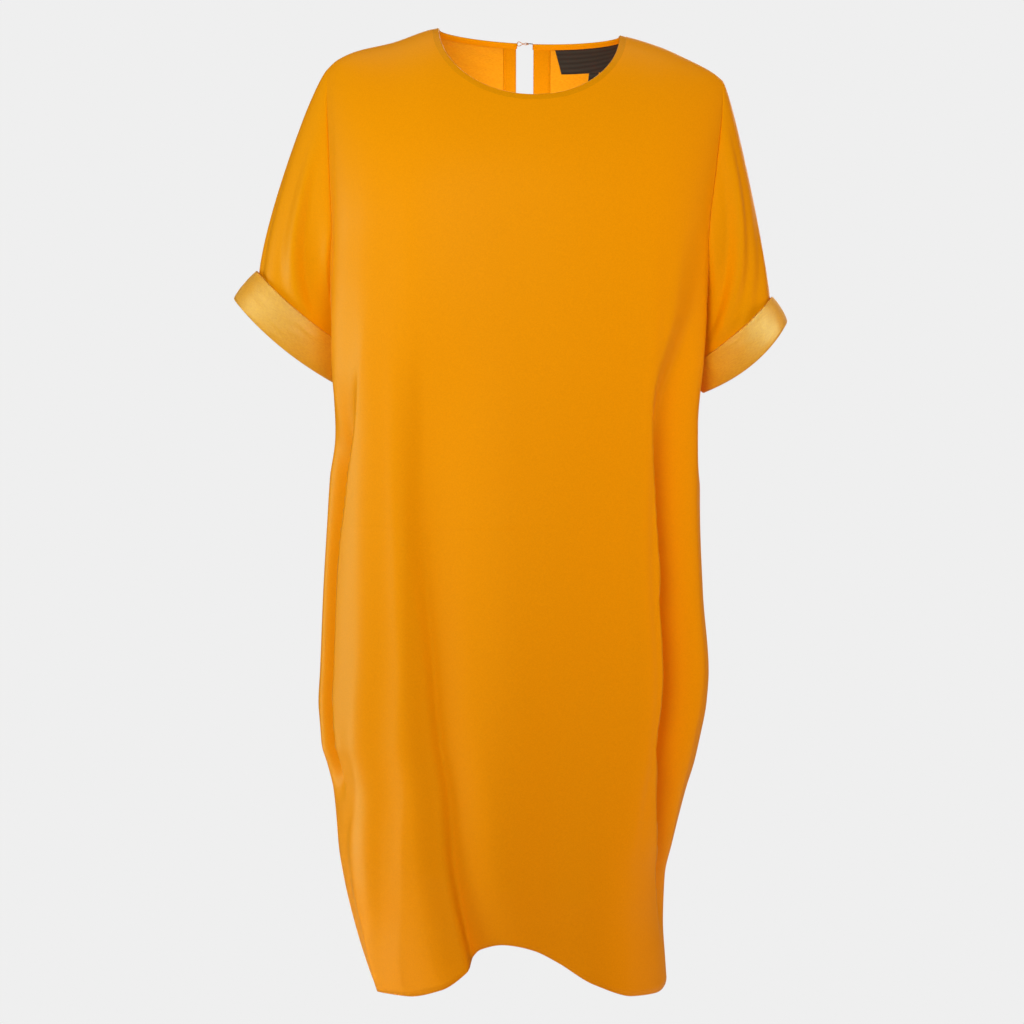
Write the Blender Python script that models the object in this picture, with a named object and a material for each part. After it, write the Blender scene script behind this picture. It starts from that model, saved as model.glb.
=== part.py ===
"""Boxy shift dress with turned-up cuffs, worn form, hung from the shoulders.

Units in this file are millimetres; MM turns them into metres as a mesh is made.
+X is the wearer's left, -Y the front, +Z up.  The origin lies midway between the
two shoulder seams at the height of the neck points.

Each piece of cloth is a wall worked out from two surfaces: the body, a stack of
oval sections with folds laid into them, and the sleeve, a loft from the armhole
to the cuff.  Neighbouring pieces share the points and the slant of their seam and
are drawn back from it by half of SEAM_GAP each.
"""

import math
from collections import namedtuple

import bmesh
import bpy
import numpy as np
from mathutils import Vector

for old in list(bpy.data.objects):
    bpy.data.objects.remove(old)

MM = 0.001

# Driving sizes ------------------------------------------------------------
CLOTH = 1.5
SEAM_GAP = 0.3
UNDERARM = -278.0
SHOULDER_ROUND = 170.0
BACK_ROUND = 130.0
CAP_POWER = 0.6

NECK_CENTRE = 4.0
NECK_HALF = 93.0
NECK_DROP_FRONT = 75.0
NECK_DROP_BACK = 8.0
BINDING_WIDTH = 5.5
BINDING_WALL = 2.4

SLIT_HALF = 8.6
SLIT_BOTTOM = -142.0
FACING_BOTTOM = -156.0
FACING_WALL = 1.0

LABEL_WALL = 0.8
LABEL_START, LABEL_END = 30.0, 93.0
LABEL_DEPTH, LABEL_SLANT = 21.0, 8.0
TAB_START, TAB_END = 66.0, 75.0
TAB_DEPTH = 10.0

CUFF_WALL = 1.6

# How finely the cloth is divided ------------------------------------------
NECK_CELLS = 12
SHOULDER_CELLS = 8
BACK_NECK_CELLS = 6
ARMHOLE_ROWS = 12
SKIRT_ROWS = 18
SLEEVE_ROWS = 8
SETTLE_ROWS = 9.0
ROW_POWER = 1.6
SEAM_SMOOTHING = 3

# The plain form of the body, top to hem: how far each oval reaches to the wearer's
# right and left, to the front and to the back, and how square it is (2 is an ellipse).
Section = namedtuple("Section", "height right_arm left_arm front back square")
SECTIONS = (
    Section(20, 196, 196, 104, 94, 2.5),
    Section(-60, 196, 196, 106, 96, 2.5),
    Section(-128, 193, 189, 109, 98, 2.5),
    Section(-190, 190, 181, 112, 100, 2.5),
    Section(-252, 189, 178, 113, 102, 2.6),
    Section(-320, 186, 173, 111, 104, 2.7),
    Section(-380, 185, 168, 109, 106, 2.6),
    Section(-455, 189, 168, 107, 109, 2.4),
    Section(-541, 194, 171, 107, 112, 2.3),
    Section(-616, 197, 176.5, 108, 115, 2.3),
    Section(-645, 198.5, 174.5, 109, 116, 2.3),
    Section(-684, 197, 167, 111, 118, 2.3),
    Section(-705, 191, 162, 112, 118, 2.3),
    Section(-727, 186, 155, 113, 118, 2.3),
    Section(-781, 182.5, 141, 115, 118, 2.4),
    Section(-812, 177.5, 134, 116, 118, 2.4),
    Section(-855, 168, 132.5, 117, 117, 2.3),
    Section(-899, 155.5, 135, 118, 116, 2.3),
    Section(-925, 145.5, 136.5, 118, 115, 2.3),
    Section(-945, 135, 136.5, 118, 115, 2.3),
)
TOP = SECTIONS[0]

# The shoulder line: its height at places across the body.
Shoulder = namedtuple("Shoulder", "across height")
SHOULDER_LINE = (
    Shoulder(-196, -44),
    Shoulder(-190, -36),
    Shoulder(-180, -27),
    Shoulder(-162, -19),
    Shoulder(-128, -11),
    Shoulder(-85, 3),
    Shoulder(0, 12),
    Shoulder(93, -4),
    Shoulder(130, -15),
    Shoulder(157, -27),
    Shoulder(180, -39),
    Shoulder(190, -47),
    Shoulder(196, -54),
)

# Edges of the front and of the back at the armhole, as degrees round the oval.
Armhole = namedtuple("Armhole", "height front back")
ARMHOLE_EDGE = (
    Armhole(20, 70, 110),
    Armhole(-190, 70, 110),
    Armhole(-230, 74, 109),
    Armhole(-258, 82, 105),
    Armhole(-278, 90, 90),
    Armhole(-300, 90, 90),
)

# Height of the hem round the skirt, by degrees from the centre front.
Hem = namedtuple("Hem", "turn height")
HEM = (
    Hem(-180, -884),
    Hem(-120, -892),
    Hem(-90, -906),
    Hem(-70, -916),
    Hem(-45, -917),
    Hem(-30, -909),
    Hem(-20, -892),
    Hem(-14, -872),
    Hem(-7, -867),
    Hem(3, -872),
    Hem(14, -884),
    Hem(28, -904),
    Hem(45, -917),
    Hem(62, -918),
    Hem(80, -912),
    Hem(110, -896),
    Hem(180, -884),
)

# Folds: each is a trough down the body.  turn is its place in degrees from the centre
# front; before and after are how far it spreads to the wearer's right and left of
# that place; depth is how far the cloth is pressed in there, and lean how far it is
# pushed sideways under its neighbour.  The first two numbers of a gather say how
# crisp its two edges are: 0 is round, 1 is a ridge, -1 is a crease along its bottom.
Fold = namedtuple("Fold", "height turn before after depth lean")
Gather = namedtuple("Gather", "crisp_before crisp_after rows")
FOLDS = {
    "right_arm_drape": Gather(0, 1, (
        Fold(-250, -54, 26, 22, 0, 0),
        Fold(-335, -56, 28, 22, 12, 3),
        Fold(-374, -59, 28, 22, 20, 5),
        Fold(-441, -67, 28, 22, 26, 8),
        Fold(-505, -70, 24, 15, 25, 9),
        Fold(-603, -70, 22, 14, 21, 7),
        Fold(-660, -69, 20, 14, 17, 5),
        Fold(-705, -67, 18, 13, 9, 3),
        Fold(-740, -67, 18, 13, 0, 0),
        Fold(-770, -67, 18, 13, 0, 0),
    )),
    "left_arm_drape": Gather(0.7, 0, (
        Fold(-190, 62, 26, 30, 0, 0),
        Fold(-265, 56, 24, 36, 5, -1),
        Fold(-353, 48, 18, 42, 14, -5),
        Fold(-462, 50, 15, 46, 29, -10),
        Fold(-516, 51, 14, 46, 36, -12),
        Fold(-602, 50, 14, 46, 40, -14),
        Fold(-669, 50, 14, 42, 38, -13),
        Fold(-735, 57, 14, 32, 30, -9),
        Fold(-800, 67, 14, 24, 15, -4),
        Fold(-880, 78, 16, 24, 0, 0),
        Fold(-910, 78, 16, 24, 0, 0),
    )),
    "front_valley": Gather(0, 0, (
        Fold(-310, -29, 24, 50, 0, 0),
        Fold(-359, -29, 24, 50, 1.2, 0),
        Fold(-415, -29.5, 22, 50, 2, 0),
        Fold(-470, -29.5, 19, 50, 2.6, 0),
        Fold(-526, -28.3, 14, 50, 2.8, 0),
        Fold(-582, -26.6, 10, 54, 2.8, 0),
        Fold(-638, -25, 8, 60, 3, 0),
        Fold(-694, -23.5, 8, 64, 3.4, 0),
        Fold(-750, -22.3, 8, 64, 4.5, 0),
        Fold(-806, -21, 8, 58, 7, -1),
        Fold(-862, -18, 10, 50, 13, -4),
        Fold(-905, -14.5, 13, 44, 23, -8),
        Fold(-945, -12, 16, 42, 32, -13),
    )),
    "front_lap": Gather(0, 0, (
        Fold(-359, -30, 60, 84, 0, 0),
        Fold(-415, -30, 60, 84, 3, 0),
        Fold(-526, -29, 60, 84, 5.5, 0),
        Fold(-638, -26, 60, 84, 6, 0),
        Fold(-750, -24, 60, 84, 6, 0),
        Fold(-862, -20, 56, 80, 5, 0),
        Fold(-945, -14, 50, 60, 0, 0),
    )),
    "hem_front": Gather(0, 0, (
        Fold(-650, -42, 28, 30, 0, 0),
        Fold(-740, -42, 28, 40, 2.5, 0),
        Fold(-840, -46, 24, 44, 3.6, 0),
        Fold(-945, -50, 22, 44, 3.6, 0),
    )),
    "front_centre": Gather(0, 0, (
        Fold(-560, 12, 80, 80, 0, 0),
        Fold(-760, 10, 80, 80, 9, 0),
        Fold(-945, 9, 76, 76, 17, 0),
    )),
    "side_facet": Gather(0, 0.6, (
        Fold(-110, -41, 40, 26, 0, 0),
        Fold(-180, -41, 40, 26, 1.6, 0),
        Fold(-340, -41, 32, 24, 2.8, 0),
        Fold(-455, -42, 30, 22, 2.8, 0),
        Fold(-600, -41, 26, 20, 2.4, 0),
        Fold(-700, -42.5, 24, 20, 2.2, 0),
        Fold(-800, -45, 18, 20, 2, 0),
        Fold(-900, -54, 18, 20, 1.4, 0),
    )),
    "hem_corner": Gather(0, 0.9, (
        Fold(-650, -72, 40, 30, 0, 0),
        Fold(-712, -71, 40, 30, -1, 0),
        Fold(-776, -70, 40, 28, 1.8, 0),
        Fold(-840, -70, 40, 26, 2.2, 0),
        Fold(-905, -72, 38, 24, 4, 0),
        Fold(-945, -73, 36, 22, 4.5, 0),
    )),
    "hem_back": Gather(0, 0, (
        Fold(-650, -100, 60, 58, 0, 0),
        Fold(-712, -100, 60, 58, 10, 0),
        Fold(-776, -100, 60, 58, 17, 0),
        Fold(-840, -100, 60, 58, 18, 0),
        Fold(-945, -100, 60, 56, 17, 0),
    )),
    "right_underarm": Gather(0, 0, (
        Fold(-140, -95, 48, 48, 0, 0),
        Fold(-278, -95, 48, 48, 46, 0),
        Fold(-340, -95, 48, 48, 40, 0),
        Fold(-430, -95, 48, 48, 0, 0),
        Fold(-480, -95, 48, 48, 0, 0),
    )),
    "left_underarm": Gather(0, 0, (
        Fold(-140, 95, 48, 48, 0, 0),
        Fold(-278, 95, 48, 48, 46, 0),
        Fold(-350, 95, 48, 48, 42, 0),
        Fold(-440, 95, 48, 48, 0, 0),
        Fold(-490, 95, 48, 48, 0, 0),
    )),
    "back_right_arm": Gather(0, 0, (
        Fold(-330, -122, 40, 40, 0, 0),
        Fold(-520, -124, 38, 38, 12, 0),
        Fold(-700, -126, 38, 38, 18, 0),
        Fold(-945, -128, 36, 36, 22, 0),
    )),
    "back_left_arm": Gather(0, 0, (
        Fold(-380, 126, 40, 40, 0, 0),
        Fold(-560, 126, 40, 40, 10, 0),
        Fold(-740, 130, 38, 38, 16, 0),
        Fold(-945, 132, 36, 36, 20, 0),
    )),
    "back_centre": Gather(0, 0, (
        Fold(-480, 170, 60, 60, 0, 0),
        Fold(-700, 170, 60, 60, 8, 0),
        Fold(-945, 168, 56, 56, 14, 0),
    )),
}


# Tables -------------------------------------------------------------------
def along(rows, at):
    """Columns of a table read at the places `at` of its first column, smoothly."""
    table = np.array(sorted(rows), dtype=float)
    places = table[:, 0]
    at = np.clip(np.asarray(at, dtype=float), places[0], places[-1])
    step = np.diff(places)
    values = table[:, 1:]
    slope = np.diff(values, axis=0) / step[:, None]
    tangent = np.zeros_like(values)
    before, after = slope[:-1], slope[1:]
    same = before * after > 0
    total = np.where(same, before + after, 1.0)
    tangent[1:-1] = np.where(same, 2.0 * before * after / total, 0.0)
    tangent[0], tangent[-1] = slope[0], slope[-1]
    cell = np.clip(np.searchsorted(places, at, side="right") - 1, 0, len(step) - 1)
    width = step[cell]
    t = ((at - places[cell]) / width)[..., None]
    width = width[..., None]
    return (
        (2 * t**3 - 3 * t**2 + 1) * values[cell]
        + (t**3 - 2 * t**2 + t) * width * tangent[cell]
        + (3 * t**2 - 2 * t**3) * values[cell + 1]
        + (t**3 - t**2) * width * tangent[cell + 1]
    )


def unit(vectors):
    """The vectors, each at length one."""
    return vectors / np.linalg.norm(vectors, axis=-1, keepdims=True)


# The body -----------------------------------------------------------------
def oval(turn, height):
    """Points of the plain sections, with the speed and outward way of each."""
    angle = np.radians(turn)
    right_arm, left_arm, front, back, square = np.moveaxis(along(SECTIONS, height), -1, 0)
    side, ahead = np.sin(angle), np.cos(angle)
    reach = np.where(side < 0, right_arm, left_arm)
    depth = np.where(ahead > 0, front, back)
    size = (np.abs(side) ** square + np.abs(ahead) ** square) ** (1 / square)
    x, y = reach * side / size, -depth * ahead / size
    out_x = np.sign(x) * np.abs(x / reach) ** (square - 1) / reach
    out_y = np.sign(y) * np.abs(y / depth) ** (square - 1) / depth
    outward = unit(np.stack([out_x, out_y], axis=-1))
    mean_reach = (right_arm + left_arm + (left_arm - right_arm) * side) / 2
    mean_depth = (front + back + (front - back) * ahead) / 2
    return x, y, outward, np.hypot(mean_reach * ahead, mean_depth * side)


def shoulder_height(across):
    """Height of the shoulder line at a place across the body."""
    return along(SHOULDER_LINE, across)[..., 0]


def pressed(gather, place, along_it, speed):
    """How far a gather presses cloth in and pushes it sideways, in millimetres."""
    middle, before, after, depth, lean = np.moveaxis(along(gather.rows, along_it), -1, 0)
    apart = np.radians((place - middle + 180) % 360 - 180) * speed
    t = np.clip(apart / np.where(apart < 0, before, after), -1, 1)
    crisp = np.where(apart < 0, gather.crisp_before, gather.crisp_after)
    edged = np.where(crisp > 0, 1 - t**2, (1 - np.abs(t)) ** 2)
    press = (1 - np.abs(crisp)) * np.cos(t * math.pi / 2) ** 2 + np.abs(crisp) * edged
    return depth * press, lean * press


def body(turn, height):
    """Points of the body: its sections with the folds, closed over the shoulders."""
    turn, height = np.broadcast_arrays(np.asarray(turn, float), np.asarray(height, float))
    x, y, outward, speed = oval(turn, height)
    for gather in FOLDS.values():
        deep, aside = pressed(gather, turn, height, speed)
        x = x - outward[..., 0] * deep + aside
        y = y - outward[..., 1] * deep
    roundness = np.where(y < 0, SHOULDER_ROUND, BACK_ROUND)
    down = np.clip((shoulder_height(x) - height) / roundness, 0, 1)
    y = y * (1 - (1 - down) ** 2) ** CAP_POWER
    return np.stack([x, y, height], axis=-1)


def turn_at(across, face):
    """Degrees round the top section of a place across it, on the front or back."""
    reach = np.where(across < 0, TOP.right_arm, TOP.left_arm)
    share = np.clip(np.abs(across) / reach, 0, 1)
    turn = np.degrees(np.arctan2(share, (1 - share**TOP.square) ** (1 / TOP.square)))
    turn = np.sign(across) * turn
    return turn if face == "front" else np.where(across < 0, -180 - turn, 180 - turn)


def neck_height(across, drop):
    """Height of the cut neck edge: an oval that hangs from the neck points."""
    share = np.clip((across - NECK_CENTRE) / NECK_HALF, -1, 1)
    low, high = shoulder_height(NECK_CENTRE + NECK_HALF * np.array([-1, 1]))
    chord = (low + high) / 2 + share * (high - low) / 2
    return chord - drop * (1 - np.abs(share) ** 2.1) ** 0.52


def spread(start, end, cells, power=1.0):
    """Values from start to end, closer together near the start as power grows."""
    return start + (end - start) * np.linspace(0, 1, cells + 1) ** power


def top_edge(side, face):
    """Places across the top edge of half a panel, from the centre to the shoulder tip."""
    cells = NECK_CELLS if face == "front" else BACK_NECK_CELLS
    neck = NECK_CENTRE + side * NECK_HALF
    start = NECK_CENTRE if face == "front" else side * SLIT_HALF
    around = start + (neck - start) * np.sin(np.radians(spread(0, 90, cells)))
    reach = TOP.right_arm if side < 0 else TOP.left_arm
    edge = np.radians(ARMHOLE_EDGE[0].front)
    size = (np.sin(edge) ** TOP.square + np.cos(edge) ** TOP.square) ** (1 / TOP.square)
    tip = side * reach * np.sin(edge) / size
    return np.concatenate([around, spread(neck, tip, SHOULDER_CELLS)[1:]])


def half_panel(side, face):
    """Turn and height over half the front or the back, from the centre to the side."""
    across = top_edge(side, face)
    neck_cells = NECK_CELLS if face == "front" else BACK_NECK_CELLS
    drop = NECK_DROP_FRONT if face == "front" else NECK_DROP_BACK
    top = shoulder_height(across)
    top[:neck_cells] = neck_height(across[:neck_cells], drop)
    share = np.linspace(0, 1, len(across))
    upper = top + (UNDERARM - top) * spread(0, 1, ARMHOLE_ROWS, ROW_POWER)[:, None]
    spaced = side * (90 * share**0.92 if face == "front" else 180 - 90 * share)
    hem = along(HEM, spaced)[:, 0]
    lower = UNDERARM + (hem - UNDERARM) * spread(0, 1, SKIRT_ROWS)[1:, None]
    height = np.concatenate([upper, lower])
    front_edge, back_edge = along(ARMHOLE_EDGE, height[:, -1:])[:, 0].T[..., None]
    if face == "front":
        even = side * front_edge * share**0.92
    else:
        start = 180 - np.degrees(slit_half(height[:, :1]) / TOP.right_arm)
        even = side * (start + (back_edge - start) * share)
    mix = np.clip(np.arange(len(height)) / SETTLE_ROWS, 0, 1)[:, None]
    mix = mix * mix * (3 - 2 * mix)
    top_turn = turn_at(across, face)
    return top_turn + (even - top_turn) * mix, height


def slit_half(height):
    """Half the width of the slit at the centre back; nothing below its end."""
    down = np.clip(height / SLIT_BOTTOM, 0, 1)
    return SLIT_HALF * (1 - down**5) ** 0.7


def slants(turn, height):
    """Outward way of the body's surface at each point."""
    nudge_turn, nudge_height = 0.4, 1.0
    across = body(turn + nudge_turn, height) - body(turn - nudge_turn, height)
    downward = body(turn, height - nudge_height) - body(turn, height + nudge_height)
    return unit(np.cross(downward, across))


# The sleeves and cuffs ----------------------------------------------------
# Each cuff at its fold and at its upper edge: the outermost point of the ring, how
# long it is there, its depth front to back, and how far its front sags below its
# ends.  fall is how steeply the cuff drops towards the body, in degrees.
Ring = namedtuple("Ring", "x z length depth sag")
CUFFS = {
    "right": {
        "side": -1,
        "fold": Ring(-279.0, -259.0, 127.0, 76.0, 6.5),
        "edge": Ring(-256.5, -232.0, 120.5, 78.0, 5.0),
        "fall": 39.5,
        "puff": 0.09,
    },
    "left": {
        "side": 1,
        "fold": Ring(251.0, -281.0, 100.0, 84.0, 9.0),
        "edge": Ring(236.5, -257.0, 98.5, 86.0, 4.0),
        "fall": 40.5,
        "puff": 0.05,
    },
}
CUFF_DEPTH = 37.0
CUFF_BACK = 8.0
CUFF_EGG = 0.35
SLEEVE_END = 8.0

# The turned-up cuff in section: how far out from the sleeve and above its fold.
Turnup = namedtuple("Turnup", "out above")
CUFF_SECTION = (
    Turnup(0.0, 8.0),
    Turnup(0.0, 3.5),
    Turnup(0.5, 1.3),
    Turnup(1.7, 0.3),
    Turnup(2.9, 1.3),
    Turnup(3.4, 3.5),
    Turnup(3.8, 14.0),
    Turnup(4.0, 25.0),
    Turnup(3.9, 36.5),
)


def cuff_ring(cuff, around, above, out):
    """Points round a cuff, at a height above its fold and a distance out from it."""
    turn = np.radians(around)
    share = above / CUFF_DEPTH
    fold, edge = np.array(cuff["fold"]), np.array(cuff["edge"])
    x, z, length, depth, sag = fold + (edge - fold) * share
    fall = math.radians(cuff["fall"])
    inward = np.array([-cuff["side"] * math.cos(fall), 0, -math.sin(fall)])
    axis = np.array([cuff["side"] * math.sin(fall), 0, -math.cos(fall)])
    front = np.array([0, -1, 0])
    share_in = (1 - np.cos(turn)) / 2
    width = np.sin(turn) * (1 - CUFF_EGG * share_in)
    sagging = axis * (sag * np.clip(np.sin(turn), 0, 1) ** 2)[:, None]
    rim = np.array([x, CUFF_BACK, z]) + share_in[:, None] * inward * length
    rim = rim + width[:, None] * front * depth / 2
    outward = unit(
        -np.cos(turn)[:, None] * inward / length + np.sin(turn)[:, None] * front / depth
    )
    return rim + sagging + outward * out, outward


def ring_turns(ring):
    """Degrees round the cuff for each point of the armhole, by its share of length."""
    half = len(ring) // 2
    closed = np.concatenate([ring, ring[:1]])
    lengths = np.linalg.norm(np.diff(closed, axis=0), axis=1)
    before = np.concatenate([[0], np.cumsum(lengths)])
    front = 180 * before[: half + 1] / before[half]
    back = 180 + 180 * (before[half:] - before[half]) / (before[-1] - before[half])
    return np.concatenate([front, back[1:-1]])


# The soft ridge down the front of each sleeve: share of the way down, degrees round
# it from the outer line, width before and after it, and how far it stands out.
Crease = namedtuple("Crease", "down around before after depth lean")
SLEEVE_RIDGES = {
    "right": Gather(0, 0, (
        Crease(0.0, 46, 30, 20, 0, 0),
        Crease(0.2, 48, 30, 20, -1, 0),
        Crease(0.42, 58, 30, 20, -4, 0),
        Crease(0.62, 70, 30, 20, -6, 0),
        Crease(0.76, 80, 30, 20, -4.5, 0),
        Crease(0.88, 88, 28, 20, -0.8, 0),
        Crease(0.96, 92, 26, 20, 0, 0),
        Crease(1.02, 92, 26, 20, 0, 0),
    )),
    "left": Gather(0, 0, (
        Crease(0.0, 40, 20, 34, 0, 0),
        Crease(0.2, 46, 20, 36, -4, 0),
        Crease(0.4, 58, 20, 36, -8, 0),
        Crease(0.6, 76, 20, 34, -9, 0),
        Crease(0.76, 98, 20, 28, -5.5, 0),
        Crease(0.88, 106, 20, 22, -0.8, 0),
        Crease(0.96, 110, 20, 22, 0, 0),
        Crease(1.02, 110, 20, 22, 0, 0),
    )),
}
LOFT_SHARE = 0.885


def sleeve_grid(cuff, ring, ridge):
    """Rows of points from the armhole down the sleeve into its cuff."""
    around = ring_turns(ring)
    top, _ = cuff_ring(cuff, around, CUFF_DEPTH, 0)
    end, outward = cuff_ring(cuff, around, SLEEVE_END, 0)
    length = np.linalg.norm(top - ring, axis=1)[:, None]
    under = ((1 - np.cos(np.radians(around))) / 2)[:, None]
    level = np.array([cuff["side"], 0, -0.95])
    behind = np.clip(-np.sin(np.radians(around)), 0, 1)[:, None]
    leave = unit(level - under * np.array([0, 0, 0.5]) - behind * under * np.array([0, 0.6, 0]))
    arrive = unit(np.array([-cuff["side"] * 0.11, 0, 0.99]) + 0 * ring)
    first = ring + leave * length * (cuff["puff"] + 0.18 * under)
    second = top + arrive * length * (0.29 - 0.05 * under)
    share = np.linspace(0, 1, SLEEVE_ROWS)[:, None, None]
    loft = (
        (1 - share) ** 3 * ring
        + 3 * (1 - share) ** 2 * share * first
        + 3 * (1 - share) * share**2 * second
        + share**3 * top
    )
    points = np.concatenate([loft, end[None]])
    facing = grid_slants(points, closed=True) * -cuff["side"]
    down = np.append(np.linspace(0, LOFT_SHARE, SLEEVE_ROWS), 1)[:, None] + 0 * around
    rounds = np.linalg.norm(np.roll(points, -1, axis=1) - points, axis=-1).sum(axis=1)
    deep, _ = pressed(ridge, around, down, rounds[:, None] / (2 * math.pi))
    return points - facing * deep[..., None], outward


def grid_slants(points, closed):
    """Outward way of a grid of points, worked out from its neighbours."""
    if closed:
        across = np.roll(points, -1, axis=1) - np.roll(points, 1, axis=1)
    else:
        across = np.gradient(points, axis=1)
    return unit(np.cross(np.gradient(points, axis=0), across))


# Making solids ------------------------------------------------------------
def material(name, colour, roughness, metallic=0.0):
    """A plain material."""
    made = bpy.data.materials.new(name)
    made.use_nodes = True
    shader = made.node_tree.nodes["Principled BSDF"]
    shader.inputs["Base Color"].default_value = (*colour, 1)
    shader.inputs["Roughness"].default_value = roughness
    shader.inputs["Metallic"].default_value = metallic
    return made


def draw_back(points, edges):
    """Move the named edges of a grid inwards by half a seam gap."""
    moved = points.copy()
    if "top" in edges:
        moved[0] += unit(points[1] - points[0]) * SEAM_GAP / 2
    if "bottom" in edges:
        moved[-1] += unit(points[-2] - points[-1]) * SEAM_GAP / 2
    if "start" in edges:
        moved[:, 0] += unit(points[:, 1] - points[:, 0]) * SEAM_GAP / 2
    if "end" in edges:
        moved[:, -1] += unit(points[:, -2] - points[:, -1]) * SEAM_GAP / 2
    return moved


def shell(name, points, slant, wall, finish, closed=False):
    """A closed wall over a grid of points, half of it on each side of them."""
    rows, columns = points.shape[:2]
    mesh = bpy.data.meshes.new(name)
    shape = bmesh.new()
    faces_of = []
    for side in (0.5, -0.5):
        layer = (points + slant * wall * side) * MM
        faces_of.append([[shape.verts.new(Vector(p)) for p in row] for row in layer])
    outer, inner = faces_of
    last = columns if closed else columns - 1
    for i in range(rows - 1):
        for j in range(last):
            k = (j + 1) % columns
            shape.faces.new((outer[i][j], outer[i + 1][j], outer[i + 1][k], outer[i][k]))
            shape.faces.new((inner[i][j], inner[i][k], inner[i + 1][k], inner[i + 1][j]))
    for j in range(last):
        k = (j + 1) % columns
        shape.faces.new((outer[0][j], outer[0][k], inner[0][k], inner[0][j]))
        shape.faces.new((outer[-1][j], inner[-1][j], inner[-1][k], outer[-1][k]))
    if not closed:
        for i in range(rows - 1):
            shape.faces.new((outer[i][0], inner[i][0], inner[i + 1][0], outer[i + 1][0]))
            shape.faces.new((outer[i][-1], outer[i + 1][-1], inner[i + 1][-1], inner[i][-1]))
    if shape.calc_volume(signed=True) < 0:
        bmesh.ops.reverse_faces(shape, faces=shape.faces)
    shape.to_mesh(mesh)
    shape.free()
    mesh.shade_smooth()
    mesh.materials.append(finish)
    made = bpy.data.objects.new(name, mesh)
    dress.objects.link(made)
    return made


dress = bpy.data.collections.new("shift_dress")
bpy.context.scene.collection.children.link(dress)

CREPE = (0.80, 0.30, 0.002)
SATIN = (0.83, 0.40, 0.05)


# The front, the two backs and the sleeves ---------------------------------
def seam_slant(across):
    """Way that the shoulder seam faces, square to its line."""
    rise = (shoulder_height(across + 1) - shoulder_height(across - 1)) / 2
    return unit(np.stack([-rise, 0 * rise, 1 + 0 * rise], axis=-1))


def cloth_grid(turn, height, neck_columns):
    """Points of a panel of the body and the way that they face."""
    points = body(turn, height)
    facing = slants(turn, height)
    seam = ~neck_columns
    facing[0, seam] = seam_slant(points[0, seam, 0])
    return points, facing


front_halves = [half_panel(side, "front") for side in (-1, 1)]
front_turn = np.concatenate([front_halves[0][0][:, ::-1], front_halves[1][0][:, 1:]], axis=1)
front_height = np.concatenate([front_halves[0][1][:, ::-1], front_halves[1][1][:, 1:]], axis=1)
front_columns = np.arange(front_turn.shape[1])
front_neck = np.abs(front_columns - NECK_CELLS - SHOULDER_CELLS) < NECK_CELLS
front_points, front_slant = cloth_grid(front_turn, front_height, front_neck)

backs = {}
for cuff_name, side in (("right", -1), ("left", 1)):
    turn, height = half_panel(side, "back")
    neck_columns = np.arange(turn.shape[1]) < BACK_NECK_CELLS
    backs[cuff_name] = cloth_grid(turn, height, neck_columns)

sleeves = {}
for name, cuff in CUFFS.items():
    column = 0 if cuff["side"] < 0 else -1
    back_points, back_slant = backs[name]
    edge = slice(0, ARMHOLE_ROWS + 1)
    ring = np.concatenate(
        [front_points[edge, column], back_points[ARMHOLE_ROWS - 1 : 0 : -1, -1]]
    )
    body_slant = np.concatenate(
        [front_slant[edge, column], back_slant[ARMHOLE_ROWS - 1 : 0 : -1, -1]]
    )
    points, outward = sleeve_grid(cuff, ring, SLEEVE_RIDGES[name])
    facing = grid_slants(points, closed=True) * -cuff["side"]
    shared = unit(facing[0] + body_slant)
    for _ in range(SEAM_SMOOTHING):
        shared = unit(np.roll(shared, 1, axis=0) + 2 * shared + np.roll(shared, -1, axis=0))
    facing[0] = shared
    facing[-1] = outward
    front_slant[edge, column] = shared[: ARMHOLE_ROWS + 1]
    back_slant[edge, -1] = np.concatenate([shared[:1], shared[:ARMHOLE_ROWS - 1 : -1]])
    sleeves[name] = (points, facing)

shell(
    "front",
    draw_back(front_points, ("top", "start", "end")),
    front_slant,
    CLOTH,
    material("front_crepe", CREPE, 0.62),
)
for name, (points, facing) in backs.items():
    shell(
        f"back_{name}",
        draw_back(points, ("top", "start", "end")),
        facing,
        CLOTH,
        material(f"back_{name}_crepe", CREPE, 0.62),
    )
for name, (points, facing) in sleeves.items():
    shell(
        f"sleeve_{name}",
        draw_back(points, ("top", "bottom")),
        facing,
        CLOTH,
        material(f"sleeve_{name}_crepe", CREPE, 0.62),
        closed=True,
    )

# Cuffs, turned up over the sleeve ends ------------------------------------
for name, cuff in CUFFS.items():
    column = 0 if cuff["side"] < 0 else -1
    ring = np.concatenate(
        [
            front_points[: ARMHOLE_ROWS + 1, column],
            backs[name][0][ARMHOLE_ROWS - 1 : 0 : -1, -1],
        ]
    )
    around = ring_turns(ring)
    rows = [cuff_ring(cuff, around, above, out)[0] for out, above in CUFF_SECTION]
    points = np.array(rows)
    facing = grid_slants(points, closed=True) * -cuff["side"]
    facing[0] = cuff_ring(cuff, around, SLEEVE_END, 0)[1]
    shell(
        f"cuff_{name}",
        draw_back(points, ("top",)),
        facing,
        CUFF_WALL,
        material(f"cuff_{name}_satin", SATIN, 0.35),
        closed=True,
    )


# Neck binding -------------------------------------------------------------
def neck_path():
    """Points of the cut neck edge from one side of the slit round to the other."""
    right_points, right_slant = backs["right"]
    left_points, left_slant = backs["left"]
    neck = slice(SHOULDER_CELLS, SHOULDER_CELLS + 2 * NECK_CELLS + 1)
    path = np.concatenate(
        [
            right_points[0, :BACK_NECK_CELLS],
            front_points[0, neck],
            left_points[0, BACK_NECK_CELLS - 1 :: -1],
        ]
    )
    facing = np.concatenate(
        [
            right_slant[0, :BACK_NECK_CELLS],
            front_slant[0, neck],
            left_slant[0, BACK_NECK_CELLS - 1 :: -1],
        ]
    )
    return path, facing


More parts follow.
